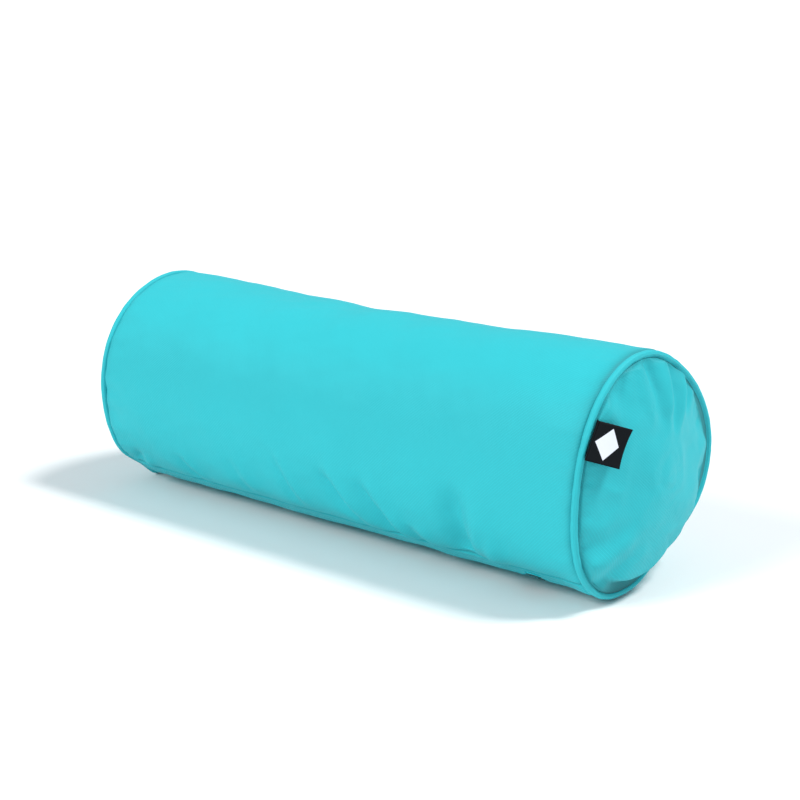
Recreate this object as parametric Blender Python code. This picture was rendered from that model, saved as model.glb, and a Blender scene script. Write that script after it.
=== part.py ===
"""A piped bolster cushion: a zipped outdoor cover over a lined, fibre filled pad.

The bolster lies along X on the floor, z = 0, and its front faces -Y. Its origin is on the floor,
midway between the ends. The zip runs along the lower front, under a placket.
"""

import math

import bmesh
import bpy
from mathutils import Matrix, Vector

MM = 0.001

# Overall size.
RING_LENGTH = 606 * MM  # over the outer sides of the two piping rings
RADIUS = 111 * MM  # of the round part of the outline
SAG = 4 * MM  # how far the weight has pressed the outline flat on the floor
CORNER_RADIUS = 40 * MM  # where the round part of the outline meets the flat
CROWN = 16 * MM  # how far an end panel swells past its ring

# Cloth and the clearances between layers.
FABRIC = 0.6 * MM
LINER_CLOTH = 0.4 * MM
GAP = 0.3 * MM
SEAM_ALLOWANCE = 8 * MM

# Piping and ring seams.
CORD_RADIUS = 2.4 * MM
CORD_BUTT_GAP = 1 * MM  # between the two ends of a piping cord
PIPING_RADIUS = CORD_RADIUS + GAP + FABRIC
SHOULDER_ROOM = 2.1 * MM  # of the barrel's shoulder, past three times the piping's radius
SHOULDER_RADIUS = 3 * PIPING_RADIUS + SHOULDER_ROOM  # of the barrel as it turns into the ring seam
LEG_HALF_GAP = GAP / 2  # half the gap between the two legs of a piping strip
PANEL_TURN_RADIUS = 6 * MM  # of an end panel as it turns out of the ring seam
PANEL_TURN_ANGLE = 75  # degrees past its outermost point
PANEL_POWER = 3.2  # how flat the middle of an end panel is
PANEL_SHARES = (0.86, 0.68, 0.46, 0.22)  # where its rows lie, from the rim to the middle
THREAD_RADIUS = 0.35 * MM

# Side label: a folded strip, sewn in beside the right piping.
LABEL_LAYER = 0.25 * MM
LABEL_THICKNESS = 2 * LABEL_LAYER + GAP
LABEL_WIDTH = 36 * MM
LABEL_TAIL = 7 * MM
LABEL_REACH = 37 * MM  # of the flap, from its fold line
LABEL_ANGLE = 148  # degrees round the outline, from +Y over the top

# Care label, flat against the inside of the barrel.
CARE_WIDTH = 24 * MM
CARE_LENGTH = 45 * MM
CARE_START = 10  # degrees round the outline
CARE_THICKNESS = 0.25 * MM

# Zip and placket.
ZIP_ANGLE = 240  # degrees round the outline
ZIP_END_MARGIN = 59 * MM  # from the ring's outer side to the end of the coil
TAPE_END_MARGIN = 38 * MM
PLACKET_SEAM_ANGLE = 226
PLACKET_TUCK = 2.6  # degrees that the placket runs on under the barrel
PLACKET_EDGE = 2.8 * MM  # from the zip's middle line to the placket's free edge
PLACKET_THICKNESS = 2 * FABRIC  # folded double
PLACKET_END_ANGLE = 45  # how far round the barrel's shoulders it runs, 90 being not at all
TAPE_HALF_THICKNESS = 0.25 * MM
TAPE_INNER = 0.9 * MM  # from the zip's middle line to a tape's inner edge
TAPE_RISE = 3.8 * MM  # width over which the upper tape rises to the placket
TAPE_UNDER_PLACKET = 6.4 * MM
LOWER_TAPE_WIDTH = 14 * MM
SLOT_SIDE_ROOM = 1.3 * MM  # of the opening in the barrel, each side of the slider
SLOT_END_ROOM = 6 * MM  # of the opening past each end of the coil
COIL_INNER, COIL_OUTER = 0.7 * MM, 3.0 * MM
COIL_SEAT = 0.15 * MM  # from a tape's face to the coil
COIL_HEIGHT = 1.6 * MM
STOP_LENGTH = 2.4 * MM
STITCH_RADIUS = 0.3 * MM
UPPER_STITCH_ANGLE = 233
LOWER_STITCH = 4 * MM  # from the edge of the opening

# Zip slider and pull tab.
OVERLAP = 0.1 * MM  # where the shapes of one metal piece run into each other
SLIDER_END_ROOM = 4.5 * MM  # of the closed slider, from the end of the coil
SLIDER_COVER_GAP = 0.7 * MM  # between the slider and the placket
SLIDER_PAD_GAP = 0.75 * MM
SLIDER_LENGTH = 11 * MM
SLIDER_FRONT, SLIDER_REAR = 5.2 * MM, 4.6 * MM  # half widths
PLATE = 0.9 * MM
RAIL_WIDTH = 0.9 * MM
RAIL_DROP = 1.6 * MM
RAIL_SETBACK = 0.2 * MM  # from the slider's ends
POST_HALF_WIDTH, POST_LENGTH = 0.4 * MM, 3 * MM
POST_SETBACK = 0.5 * MM
BAIL_HALF_WIDTH, BAIL_HALF_LENGTH = 0.8 * MM, 3.5 * MM
BAIL_OPENING, BAIL_WALL = 1.1 * MM, 0.9 * MM
TAB_LENGTH, TAB_HALF_WIDTH, TAB_TIP_HALF_WIDTH = 19 * MM, 2.25 * MM, 1.9 * MM
TAB_HALF_THICKNESS = 0.4 * MM
TAB_BAR_RADIUS = 0.38 * MM
TAB_BAR_GAP = 0.12 * MM  # between the tab's bar and the bail
TAB_ARM = 0.95 * MM
TAB_EYE = 2.8 * MM  # from the pivot to the far end of the eye

# Inner pad.
LINER_CORNER = 26 * MM
LINER_STRAIGHT_END = 38 * MM  # from the ring's outer side to where the liner starts to round off
LINER_TURN = 70  # degrees
LINER_CROWN_GAP = 1.9 * MM  # between an end panel and the liner, in the middle
LINER_POWER = 4.0
LINER_SHARES = (0.93, 0.8, 0.56, 0.28)
LINER_LAP = 10 * MM  # of a liner end inside the liner's barrel

# Smoothness, in degrees.
ARC_STEP = 15
SHOULDER_STEP = 22.5
THREAD_STEP = 60
PANEL_TURN_STEPS = 5
PIPING_STEPS = 8
CORD_STEPS = 6
RING_THREAD_STEPS = 4
LABEL_FOLD_STEPS = 4
LABEL_ROW = 7 * MM  # between rows along the label's flap
LINER_TURN_STEPS = 3
FOLD_GAP_ANGLE = 2  # degrees of the label's fold left open, each side of the fold line

AXIS_HEIGHT = RADIUS - SAG
FLAT_HALF = math.sqrt((RADIUS - CORNER_RADIUS) ** 2 - (AXIS_HEIGHT - CORNER_RADIUS) ** 2)
CORNER_ANGLE = math.degrees(math.asin(FLAT_HALF / (RADIUS - CORNER_RADIUS)))
RING_X = RING_LENGTH / 2 - PIPING_RADIUS
LEG_OUTER = LEG_HALF_GAP + FABRIC
FLANGE_X = RING_X - LEG_OUTER - GAP  # outer face of the barrel's seam allowance
FLANGE_END = SHOULDER_RADIUS + SEAM_ALLOWANCE
LINER_INSET = FABRIC + GAP + CARE_THICKNESS + GAP

# Heights above the tapes' middle plane, and that plane's depth below the outline.
LAP_LEVEL = TAPE_HALF_THICKNESS + GAP + FABRIC  # outer face of the underlap
COIL_LOW = TAPE_HALF_THICKNESS + COIL_SEAT
COIL_HIGH = COIL_LOW + COIL_HEIGHT
SLIDER_PLATE_Z = COIL_HIGH + GAP
SLIDER_TOP = SLIDER_PLATE_Z + PLATE
SLIDER_UNDER = -TAPE_HALF_THICKNESS - GAP
PLACKET_INSET = FABRIC + GAP
ZIP_DEPTH = PLACKET_INSET + PLACKET_THICKNESS + SLIDER_COVER_GAP + SLIDER_TOP
ZIP_ROOM = PLATE - SLIDER_UNDER + SLIDER_PAD_GAP  # of the pad's flat below that plane

# Places along the zip and across it.
ZIP_HALF_LENGTH = RING_LENGTH / 2 - ZIP_END_MARGIN
TAPE_HALF_LENGTH = RING_LENGTH / 2 - TAPE_END_MARGIN
SLIDER_X = ZIP_HALF_LENGTH - SLIDER_END_ROOM - SLIDER_LENGTH / 2
SLOT_HALF_WIDTH = SLIDER_FRONT + SLOT_SIDE_ROOM
TAPE_FLAT = SLOT_HALF_WIDTH + GAP
TAPE_RISE_END = TAPE_FLAT + TAPE_RISE
TAPE_WIDTH = TAPE_RISE_END + TAPE_UNDER_PLACKET

# Angles round the outline where some piece begins or ends. All pieces share the facets between them.
TUCK_ANGLE = PLACKET_SEAM_ANGLE - PLACKET_TUCK
PLACKET_EDGE_ANGLE = ZIP_ANGLE - math.degrees(PLACKET_EDGE / RADIUS)
LABEL_HALF_ANGLE = math.degrees(LABEL_WIDTH / 2 / RADIUS)
LABEL_START, LABEL_END = LABEL_ANGLE - LABEL_HALF_ANGLE, LABEL_ANGLE + LABEL_HALF_ANGLE
CARE_END = CARE_START + math.degrees(CARE_WIDTH / RADIUS)
PAD_FLAT_LEVEL = RADIUS - ZIP_DEPTH - ZIP_ROOM  # of the pad's flat behind the zip, from the axis
PAD_FLAT_ANGLE = ZIP_ANGLE - math.degrees(math.acos(PAD_FLAT_LEVEL / (RADIUS - LINER_INSET)))
MARKS = sorted(
    [
        CORNER_ANGLE - 90,
        0,
        CARE_START,
        CARE_END,
        90,
        LABEL_START,
        LABEL_END,
        180,
        PAD_FLAT_ANGLE,
        TUCK_ANGLE,
        PLACKET_SEAM_ANGLE,
        UPPER_STITCH_ANGLE,
        PLACKET_EDGE_ANGLE,
        270 - CORNER_ANGLE,
    ]
)


def clear_scene():
    for item in list(bpy.data.objects):
        bpy.data.objects.remove(item)


def cloth(name, colour, roughness=0.8, metallic=0.0):
    material = bpy.data.materials.new(name)
    material.use_nodes = True
    shader = material.node_tree.nodes["Principled BSDF"]
    shader.inputs["Base Color"].default_value = (*colour, 1)
    shader.inputs["Roughness"].default_value = roughness
    shader.inputs["Metallic"].default_value = metallic
    return material


def add_object(name, mesh_maker, material, parent=None):
    """mesh_maker fills a bmesh; the result is one closed body with its faces pointing out."""
    bm = bmesh.new()
    mesh_maker(bm)
    bmesh.ops.recalc_face_normals(bm, faces=bm.faces)
    mesh = bpy.data.meshes.new(name)
    bm.to_mesh(mesh)
    bm.free()
    mesh.materials.append(material)
    mesh.shade_smooth()
    mesh.set_sharp_from_angle(angle=math.radians(40))
    item = bpy.data.objects.new(name, mesh)
    item.parent = parent
    bpy.context.scene.collection.objects.link(item)
    return item


# The outline of the bolster, seen along X. A station is (point, outward direction), so that
# point - inset * direction lies on the outline drawn in by inset.


def direction(angle):
    return Vector((0, math.cos(math.radians(angle)), math.sin(math.radians(angle))))


def outline_station(angle):
    """angle is that of the outward normal, from -90 at one end of the flat to 270 at the other."""
    out = direction(angle)
    if angle < CORNER_ANGLE - 90:
        return Vector((0, FLAT_HALF, CORNER_RADIUS)) + CORNER_RADIUS * out, out
    if angle > 270 - CORNER_ANGLE:
        return Vector((0, -FLAT_HALF, CORNER_RADIUS)) + CORNER_RADIUS * out, out
    return Vector((0, 0, AXIS_HEIGHT)) + RADIUS * out, out


def steps(start, end, largest):
    count = max(1, math.ceil(abs(end - start) / largest - 1e-9))
    return [start + (end - start) * i / count for i in range(count + 1)]


def outline_stations(start=-90.0, end=270.0):
    """Stations from one angle to another, with all the marks between them."""
    marks = [start, *[m for m in MARKS if start < m < end], end]
    angles = [start]
    for low, high in zip(marks, marks[1:]):
        angles += steps(low, high, ARC_STEP)[1:]
    return [outline_station(a) for a in angles]


def inset_point(station, x, inset):
    point, out = station
    moved = point - inset * out
    return Vector((x, moved.y, moved.z))


ZIP_OUT = direction(ZIP_ANGLE)
ZIP_UP = Vector((0, ZIP_OUT.z, -ZIP_OUT.y))  # along the outline, towards the placket
ZIP_ORIGIN = Vector((0, 0, AXIS_HEIGHT)) + (RADIUS - ZIP_DEPTH) * ZIP_OUT


def zip_station(up, out):
    return ZIP_ORIGIN + up * ZIP_UP + out * ZIP_OUT, ZIP_OUT


def zip_plane_y(level, z):
    """Where a plane parallel to the tapes, at some distance from the bolster's axis, reaches height z."""
    return (level - (z - AXIS_HEIGHT) * ZIP_OUT.z) / ZIP_OUT.y


def mitre(first, second):
    """The direction that keeps two adjoining faces parallel to themselves as they are drawn in."""
    return (first + second) / (1 + first.dot(second))


# Mesh building. A grid is a list of rows of points.


def add_grid(bm, grid):
    return [[bm.verts.new(p) for p in row] for row in grid]


def join_rows(bm, first, second, wrap):
    count = len(first)
    for j in range(count if wrap else count - 1):
        k = (j + 1) % count
        bm.faces.new((first[j], first[k], second[k], second[j]))


def add_shell(bm, outer, inner, wrap, capped=False):
    """A wall between two grids of the same size. A capped shell is closed across its last row."""
    outer, inner = add_grid(bm, outer), add_grid(bm, inner)
    for grid in (outer, inner):
        for first, second in zip(grid, grid[1:]):
            join_rows(bm, first, second, wrap)
    join_rows(bm, outer[0], inner[0], wrap)
    if capped:
        bm.faces.new(outer[-1])
        bm.faces.new(inner[-1])
    else:
        join_rows(bm, outer[-1], inner[-1], wrap)
    if not wrap:
        for j in (0, -1):
            join_rows(bm, [row[j] for row in outer], [row[j] for row in inner], False)


def add_solid(bm, rows):
    """A solid skinned over closed rows of points, capped at both ends."""
    rows = add_grid(bm, rows)
    for first, second in zip(rows, rows[1:]):
        join_rows(bm, first, second, True)
    bm.faces.new(rows[0])
    bm.faces.new(rows[-1])


def add_ring(bm, rows):
    """A closed profile carried once round: the rows close on themselves."""
    rows = add_grid(bm, rows)
    for first, second in zip(rows, [*rows[1:], rows[0]]):
        join_rows(bm, first, second, True)


def add_box(bm, low, high, taper=None):
    """A box between two corners. taper gives the half width in Y at the high X end."""
    (x0, y0, z0), (x1, y1, z1) = low, high
    far = (y0, y1) if taper is None else (-taper, taper)
    add_solid(
        bm,
        [
            [(x0, y0, z0), (x0, y1, z0), (x0, y1, z1), (x0, y0, z1)],
            [(x1, far[0], z0), (x1, far[1], z0), (x1, far[1], z1), (x1, far[0], z1)],
        ],
    )


def arc(centre_x, centre_inset, radius, start, end, count):
    """(x, inset) pairs on an arc. Angle 0 points away from the middle, 90 points out of the bolster."""
    found = []
    for angle in steps(start, end, abs(end - start) / count):
        a = math.radians(angle)
        found.append((centre_x + radius * math.cos(a), centre_inset - radius * math.sin(a)))
    return found


def sweep(stations, profile, side=1):
    """Rows of points: one row for each (x, inset) of the profile, along all stations."""
    return [[inset_point(s, side * x, inset) for s in stations] for x, inset in profile]


# Cover.


def both_ends(right):
    return right + [(-x, inset) for x, inset in reversed(right)]


def shoulder(depth, start):
    count = round((90 - start) / SHOULDER_STEP)
    return arc(FLANGE_X - SHOULDER_RADIUS, SHOULDER_RADIUS, SHOULDER_RADIUS - depth, start, 90, count)


def barrel_profile(depth):
    """The barrel's (x, inset) pairs at some depth below its outer face, from end to end."""
    return both_ends([(FLANGE_X - depth, FLANGE_END), *shoulder(depth, 0)])


def barrel_stations():
    """From the underlap beneath the placket, across the flat and over the top, to the placket seam."""
    flat_end = Vector((0, zip_plane_y(RADIUS - ZIP_DEPTH + LAP_LEVEL, 0), 0))
    underlap = [
        zip_station(SLOT_HALF_WIDTH, LAP_LEVEL),
        zip_station(0, LAP_LEVEL),
        zip_station(-SLOT_HALF_WIDTH, LAP_LEVEL),
    ]
    return [*underlap, (flat_end, mitre(ZIP_OUT, direction(270))), *outline_stations(-90, PLACKET_SEAM_ANGLE)]


def make_barrel(bm):
    stations = barrel_stations()
    add_shell(bm, sweep(stations, barrel_profile(0)), sweep(stations, barrel_profile(FABRIC)), False)


def cut_zip_slot(barrel, zip_frame):
    """The opening in the underlap, as wide as the slider needs and longer than the chain."""
    half = ZIP_HALF_LENGTH + SLOT_END_ROOM
    past = 1 * MM

    def box(bm):
        low = (-half, -SLOT_HALF_WIDTH, -past)
        add_box(bm, low, (half, SLOT_HALF_WIDTH + past, LAP_LEVEL + past))

    cutter = add_object("zip_slot_cutter", box, barrel.data.materials[0], zip_frame)
    cutter.hide_render = True
    cutter.display_type = "WIRE"
    cut = barrel.modifiers.new("zip_slot", "BOOLEAN")
    cut.operation = "DIFFERENCE"
    cut.object = cutter


def make_placket(bm):
    """It ends on the barrel's shoulders, clear of the underlap as that turns into the ring seams."""
    stations = outline_stations(TUCK_ANGLE, PLACKET_EDGE_ANGLE)
    outer = sweep(stations, both_ends(shoulder(PLACKET_INSET, PLACKET_END_ANGLE)))
    inner_inset = PLACKET_INSET + PLACKET_THICKNESS
    inner = sweep(stations, both_ends(shoulder(inner_inset, PLACKET_END_ANGLE)))
    add_shell(bm, outer, inner, False)


def panel_turn(room):
    """Where an end panel turns out of the seam: its (x, inset) centre. room is left for a label."""
    x = RING_X + LEG_OUTER + GAP + room + PANEL_TURN_RADIUS
    reach = PANEL_TURN_RADIUS + PIPING_RADIUS + GAP + room
    return x, PIPING_RADIUS + math.sqrt(reach**2 - (x - RING_X) ** 2)


def panel_profile(room, lift):
    """An end panel's (x, inset) pairs, and the crown's (x, scale) pairs, lift above its outer face."""
    turn_x, turn_inset = panel_turn(room)
    radius = PANEL_TURN_RADIUS + lift
    seam = [(turn_x - radius, FLANGE_END)]
    seam += arc(turn_x, turn_inset, radius, 180, 90 - PANEL_TURN_ANGLE, PANEL_TURN_STEPS)
    rim = seam[-1][0]
    middle = RING_LENGTH / 2 + CROWN + lift
    crown = []
    for share in PANEL_SHARES:
        crown.append((middle - (middle - rim) * share**PANEL_POWER, share))
    return seam, crown


def crown_rows(rim_row, crown, side):
    """Rows from a rim towards the middle: each point keeps its share of the way from the axis."""
    rows = []
    for x, share in crown:
        middle = Vector((side * x, 0, AXIS_HEIGHT))
        rows.append([middle + share * (Vector((side * x, p.y, p.z)) - middle) for p in rim_row])
    return rows


def panel_rows(stations, room, lift, side):
    seam, crown = panel_profile(room, lift)
    rows = sweep(stations, seam, side)
    return rows + crown_rows(rows[-1], crown, side)


def make_end_panel(side, room):
    def make(bm):
        stations = outline_stations()
        outer = panel_rows(stations, room, 0, side)
        add_shell(bm, outer, panel_rows(stations, room, -FABRIC, side), True, capped=True)

    return make


def make_piping_cover(side):
    """A strip wrapped round the cord, with its two legs reaching into the seam."""
    inner_radius = PIPING_RADIUS - FABRIC
    outer_start = math.degrees(math.asin(LEG_OUTER / PIPING_RADIUS)) - 90
    inner_start = math.degrees(math.asin(LEG_HALF_GAP / inner_radius)) - 90
    outer = [(RING_X + LEG_OUTER, FLANGE_END)]
    outer += arc(RING_X, PIPING_RADIUS, PIPING_RADIUS, outer_start, 180 - outer_start, PIPING_STEPS)
    outer += [(RING_X - LEG_OUTER, FLANGE_END), (RING_X - LEG_HALF_GAP, FLANGE_END)]
    inner = arc(RING_X, PIPING_RADIUS, inner_radius, 180 - inner_start, inner_start, PIPING_STEPS)
    profile = outer + inner + [(RING_X + LEG_HALF_GAP, FLANGE_END)]

    def make(bm):
        add_ring(bm, [[inset_point(s, side * x, i) for x, i in profile] for s in outline_stations()])

    return make


def round_profile(x, inset, radius, count):
    return arc(x, inset, radius, 0, 360, count)[:-1]


def make_piping_cord(side):
    """One length of cord, whose two ends butt on the floor side."""
    profile = round_profile(RING_X, PIPING_RADIUS, CORD_RADIUS, CORD_STEPS)
    down = direction(-90)
    ends = [(Vector((0, side_y * CORD_BUTT_GAP / 2, 0)), down) for side_y in (1, -1)]
    stations = [ends[0], *outline_stations(), ends[1]]

    def make(bm):
        add_solid(bm, [[inset_point(s, side * x, i) for x, i in profile] for s in stations])

    return make


def make_seam_thread(side, room):
    """The ring of thread on the end panel's seam allowance."""
    x = RING_X + LEG_OUTER + GAP + room + FABRIC + GAP + THREAD_RADIUS
    profile = round_profile(x, FLANGE_END - SEAM_ALLOWANCE / 2, THREAD_RADIUS, RING_THREAD_STEPS)

    def make(bm):
        add_ring(bm, [[inset_point(s, side * x, i) for x, i in profile] for s in outline_stations()])

    return make


# Labels.


def make_label_root(room):
    """The sewn-in tail, up to the fold line at the outermost point of the end panel's turn."""
    turn_x, turn_inset = panel_turn(room)

    def profile(lift):
        radius = PANEL_TURN_RADIUS + lift
        return [
            (turn_x - radius, turn_inset + LABEL_TAIL),
            *arc(turn_x, turn_inset, radius, 180, 90 + FOLD_GAP_ANGLE, LABEL_FOLD_STEPS),
        ]

    def make(bm):
        stations = outline_stations(LABEL_START, LABEL_END)
        outer = sweep(stations, profile(GAP + LABEL_THICKNESS))
        add_shell(bm, outer, sweep(stations, profile(GAP)), False)

    return make


def label_flap_profile(room, lift):
    """Follows the end panel from the fold line, as far as the label reaches."""
    turn_x, turn_inset = panel_turn(room)
    radius = PANEL_TURN_RADIUS + lift
    points = arc(turn_x, turn_inset, radius, 90 - FOLD_GAP_ANGLE, 90 - PANEL_TURN_ANGLE, LABEL_FOLD_STEPS)
    rim_x, rim_inset = points[-1]
    rim_radius = RADIUS - rim_inset
    middle = RING_LENGTH / 2 + CROWN + lift
    turned = math.radians(PANEL_TURN_ANGLE) * (PANEL_TURN_RADIUS + GAP)
    for travel in steps(0, LABEL_REACH - turned, LABEL_ROW)[1:]:
        share = 1 - travel / rim_radius
        points.append((middle - (middle - rim_x) * share**PANEL_POWER, RADIUS - rim_radius * share))
    return points


def make_label_flap(room):
    """It starts on the curve of the seam, and keeps its width as it crosses the end panel."""
    out = direction(LABEL_ANGLE)
    stations = [(point, out) for point, _ in outline_stations(LABEL_START, LABEL_END)]

    def make(bm):
        outer = sweep(stations, label_flap_profile(room, GAP + LABEL_THICKNESS))
        add_shell(bm, outer, sweep(stations, label_flap_profile(room, GAP)), False)

    return make


def make_care_label(bm):
    end = FLANGE_X - SHOULDER_RADIUS
    stations = outline_stations(CARE_START, CARE_END)
    top = FABRIC + GAP
    walls = [[(end, top + d), (end - CARE_LENGTH, top + d)] for d in (0, CARE_THICKNESS)]
    add_shell(bm, sweep(stations, walls[0], -1), sweep(stations, walls[1], -1), False)


# Zip, in the zip's own frame: X along it, Y towards the placket, Z out of the bolster.


def extrude_along_zip(bm, outline, start, end):
    """outline is a closed list of (y, z) points."""
    add_solid(bm, [[(x, y, z) for y, z in outline] for x in (start, end)])


def make_upper_tape(bm):
    """Flat beside the chain, then rising to lie against the inside of the placket."""

    def under_placket(y):
        facet_middle = math.cos(math.radians(ARC_STEP / 2))
        inner_face = (RADIUS - PLACKET_INSET - PLACKET_THICKNESS) * facet_middle
        return math.sqrt(inner_face**2 - y**2) - (RADIUS - ZIP_DEPTH) - GAP - TAPE_HALF_THICKNESS

    middle = [
        (TAPE_INNER, 0),
        (TAPE_FLAT, 0),
        (TAPE_RISE_END, under_placket(TAPE_RISE_END)),
        (TAPE_WIDTH, under_placket(TAPE_WIDTH)),
    ]
    top = [(y, z + TAPE_HALF_THICKNESS) for y, z in middle]
    bottom = [(y, z - TAPE_HALF_THICKNESS) for y, z in reversed(middle)]
    extrude_along_zip(bm, top + bottom, -TAPE_HALF_LENGTH, TAPE_HALF_LENGTH)


def make_lower_tape(bm):
    low = (-TAPE_HALF_LENGTH, -LOWER_TAPE_WIDTH, -TAPE_HALF_THICKNESS)
    add_box(bm, low, (TAPE_HALF_LENGTH, -TAPE_INNER, TAPE_HALF_THICKNESS))


def make_coil(side):
    """The outer shape of one row of coil."""
    middle = (COIL_LOW + COIL_HIGH) / 2
    bevel = 0.5 * MM
    half = [
        (COIL_INNER, middle - bevel / 2),
        (COIL_INNER + bevel, COIL_LOW),
        (COIL_OUTER - bevel, COIL_LOW),
        (COIL_OUTER, middle - bevel / 2),
        (COIL_OUTER, middle + bevel / 2),
        (COIL_OUTER - bevel, COIL_HIGH),
        (COIL_INNER + bevel, COIL_HIGH),
        (COIL_INNER, middle + bevel / 2),
    ]

    def make(bm):
        outline = [(side * y, z) for y, z in half]
        extrude_along_zip(bm, outline, -ZIP_HALF_LENGTH, ZIP_HALF_LENGTH)

    return make


def make_top_stop(side):
    """A small clip on one tape, just past the end of its coil."""

    def make(bm):
        inner, outer = sorted((side * COIL_INNER, side * COIL_OUTER))
        start = ZIP_HALF_LENGTH + GAP
        add_box(bm, (start, inner, TAPE_HALF_THICKNESS + GAP), (start + STOP_LENGTH, outer, COIL_HIGH))

    return make


def make_bottom_stop(bm):
    end = -ZIP_HALF_LENGTH - GAP
    low = (end - STOP_LENGTH, -COIL_OUTER, TAPE_HALF_THICKNESS + GAP)
    add_box(bm, low, (end, COIL_OUTER, COIL_HIGH))


def make_thread_run(station, half_length):
    """A straight run of thread lying on cloth, held off it by the usual gap."""
    point, out = station
    centre = point + (GAP + STITCH_RADIUS) * out
    side = Vector((0, -out.z, out.y))

    def make(bm):
        rows = []
        for x in (-half_length, half_length):
            row = []
            for angle in range(0, 360, THREAD_STEP):
                a = math.radians(angle)
                offset = STITCH_RADIUS * (math.cos(a) * side + math.sin(a) * out)
                row.append(Vector((x, 0, 0)) + centre + offset)
            rows.append(row)
        add_solid(bm, rows)

    return make


PIVOT_X = -BAIL_HALF_LENGTH + BAIL_WALL + TAB_BAR_RADIUS + TAB_BAR_GAP
PIVOT = Vector((PIVOT_X, 0, SLIDER_TOP + BAIL_OPENING / 2))


def make_slider(bm):
    """Two plates joined by a post, with rails on the outer plate, and a bail for the tab."""
    half = SLIDER_LENGTH / 2
    for low, high in ((SLIDER_PLATE_Z, SLIDER_TOP), (SLIDER_UNDER - PLATE, SLIDER_UNDER)):
        add_box(bm, (-half, -SLIDER_REAR, low), (half, SLIDER_REAR, high), taper=SLIDER_FRONT)
    post_end = half - POST_SETBACK
    add_box(
        bm,
        (post_end - POST_LENGTH, -POST_HALF_WIDTH, SLIDER_UNDER - OVERLAP),
        (post_end, POST_HALF_WIDTH, SLIDER_PLATE_Z + OVERLAP),
    )
    low, high = SLIDER_PLATE_Z - RAIL_DROP, SLIDER_PLATE_Z + OVERLAP
    for side in (-1, 1):
        rail = []
        for x, y in ((-half + RAIL_SETBACK, SLIDER_REAR), (half - RAIL_SETBACK, SLIDER_FRONT)):
            inner, outer = side * (y - RAIL_WIDTH), side * (y - OVERLAP / 2)
            rail.append([(x, inner, low), (x, outer, low), (x, outer, high), (x, inner, high)])
        add_solid(bm, rail)
    top = SLIDER_TOP + BAIL_OPENING
    for start in (-BAIL_HALF_LENGTH, BAIL_HALF_LENGTH - BAIL_WALL):
        low = (start, -BAIL_HALF_WIDTH, SLIDER_TOP - OVERLAP)
        add_box(bm, low, (start + BAIL_WALL, BAIL_HALF_WIDTH, top + OVERLAP))
    low = (-BAIL_HALF_LENGTH, -BAIL_HALF_WIDTH - OVERLAP / 2, top)
    add_box(bm, low, (BAIL_HALF_LENGTH, BAIL_HALF_WIDTH + OVERLAP / 2, top + BAIL_WALL))


def make_tab(bm):
    """Drawn about its pivot: a round bar, two arms beside the bail, and the grip beyond the eye."""
    bar = []
    for y in (-TAB_HALF_WIDTH, TAB_HALF_WIDTH):
        angles = [math.radians(45 * k + 22.5) for k in range(8)]
        bar.append([(TAB_BAR_RADIUS * math.cos(a), y, TAB_BAR_RADIUS * math.sin(a)) for a in angles])
    add_solid(bm, bar)
    thin = TAB_HALF_THICKNESS - OVERLAP
    for side in (-1, 1):
        edges = (side * (TAB_HALF_WIDTH - TAB_ARM), side * (TAB_HALF_WIDTH - OVERLAP / 2))
        add_box(bm, (-TAB_EYE - OVERLAP, min(edges), -thin), (0, max(edges), thin))
    add_box(
        bm,
        (-TAB_LENGTH, -TAB_TIP_HALF_WIDTH, -TAB_HALF_THICKNESS),
        (-TAB_EYE, TAB_TIP_HALF_WIDTH, TAB_HALF_THICKNESS),
        taper=TAB_HALF_WIDTH,
    )


def union_parts(item):
    """Joins the closed pieces that one mesh holds into one body."""
    join = item.modifiers.new("join", "BOOLEAN")
    join.operation = "UNION"
    join.use_self = True
    join.operand_type = "COLLECTION"
    join.collection = bpy.data.collections.new(item.name + "_nothing")


# Inner pad.


def pad_stations():
    """Round the liner's outer face, which is flat behind the zip to leave it room."""
    upper = outline_stations(-90, PAD_FLAT_ANGLE)
    stations = [(point - LINER_INSET * out, out) for point, out in upper]
    flat_start, upper_out = stations.pop()
    stations.append((flat_start, mitre(upper_out, ZIP_OUT)))
    flat_end = Vector((0, zip_plane_y(PAD_FLAT_LEVEL, LINER_INSET), LINER_INSET))
    stations.append((flat_end, mitre(ZIP_OUT, direction(270))))
    return stations


def pad_half(depth, side):
    """Rows of one end of the pad, at some depth below the liner's outer face."""
    start = RING_LENGTH / 2 - LINER_STRAIGHT_END
    turn = arc(start, LINER_CORNER, LINER_CORNER - depth, 90, 90 - LINER_TURN, LINER_TURN_STEPS)
    middle = RING_LENGTH / 2 + CROWN - FABRIC - LINER_CROWN_GAP - depth
    rim = turn[-1][0]
    crown = [(middle - (middle - rim) * share**LINER_POWER, share) for share in LINER_SHARES]
    rows = sweep(pad_stations(), turn, side)
    return rows + crown_rows(rows[-1], crown, side)


def make_liner_barrel(bm):
    half = RING_LENGTH / 2 - LINER_STRAIGHT_END
    stations = pad_stations()
    walls = [sweep(stations, [(-half, depth), (half, depth)]) for depth in (0, LINER_CLOTH)]
    add_shell(bm, *walls, True)


def make_liner_end(side):
    """A cap whose skirt laps inside the liner's barrel."""

    def rows_at(depth):
        rows = pad_half(depth, side)
        x = side * (RING_LENGTH / 2 - LINER_STRAIGHT_END - LINER_LAP)
        return [[Vector((x, p.y, p.z)) for p in rows[0]], *rows]

    def make(bm):
        top = LINER_CLOTH + GAP
        add_shell(bm, rows_at(top), rows_at(top + LINER_CLOTH), True, capped=True)

    return make


def make_filling(bm):
    depth = 2 * (LINER_CLOTH + GAP)
    add_solid(bm, [*reversed(pad_half(depth, -1)), *pad_half(depth, 1)])


# Assembly.


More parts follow.
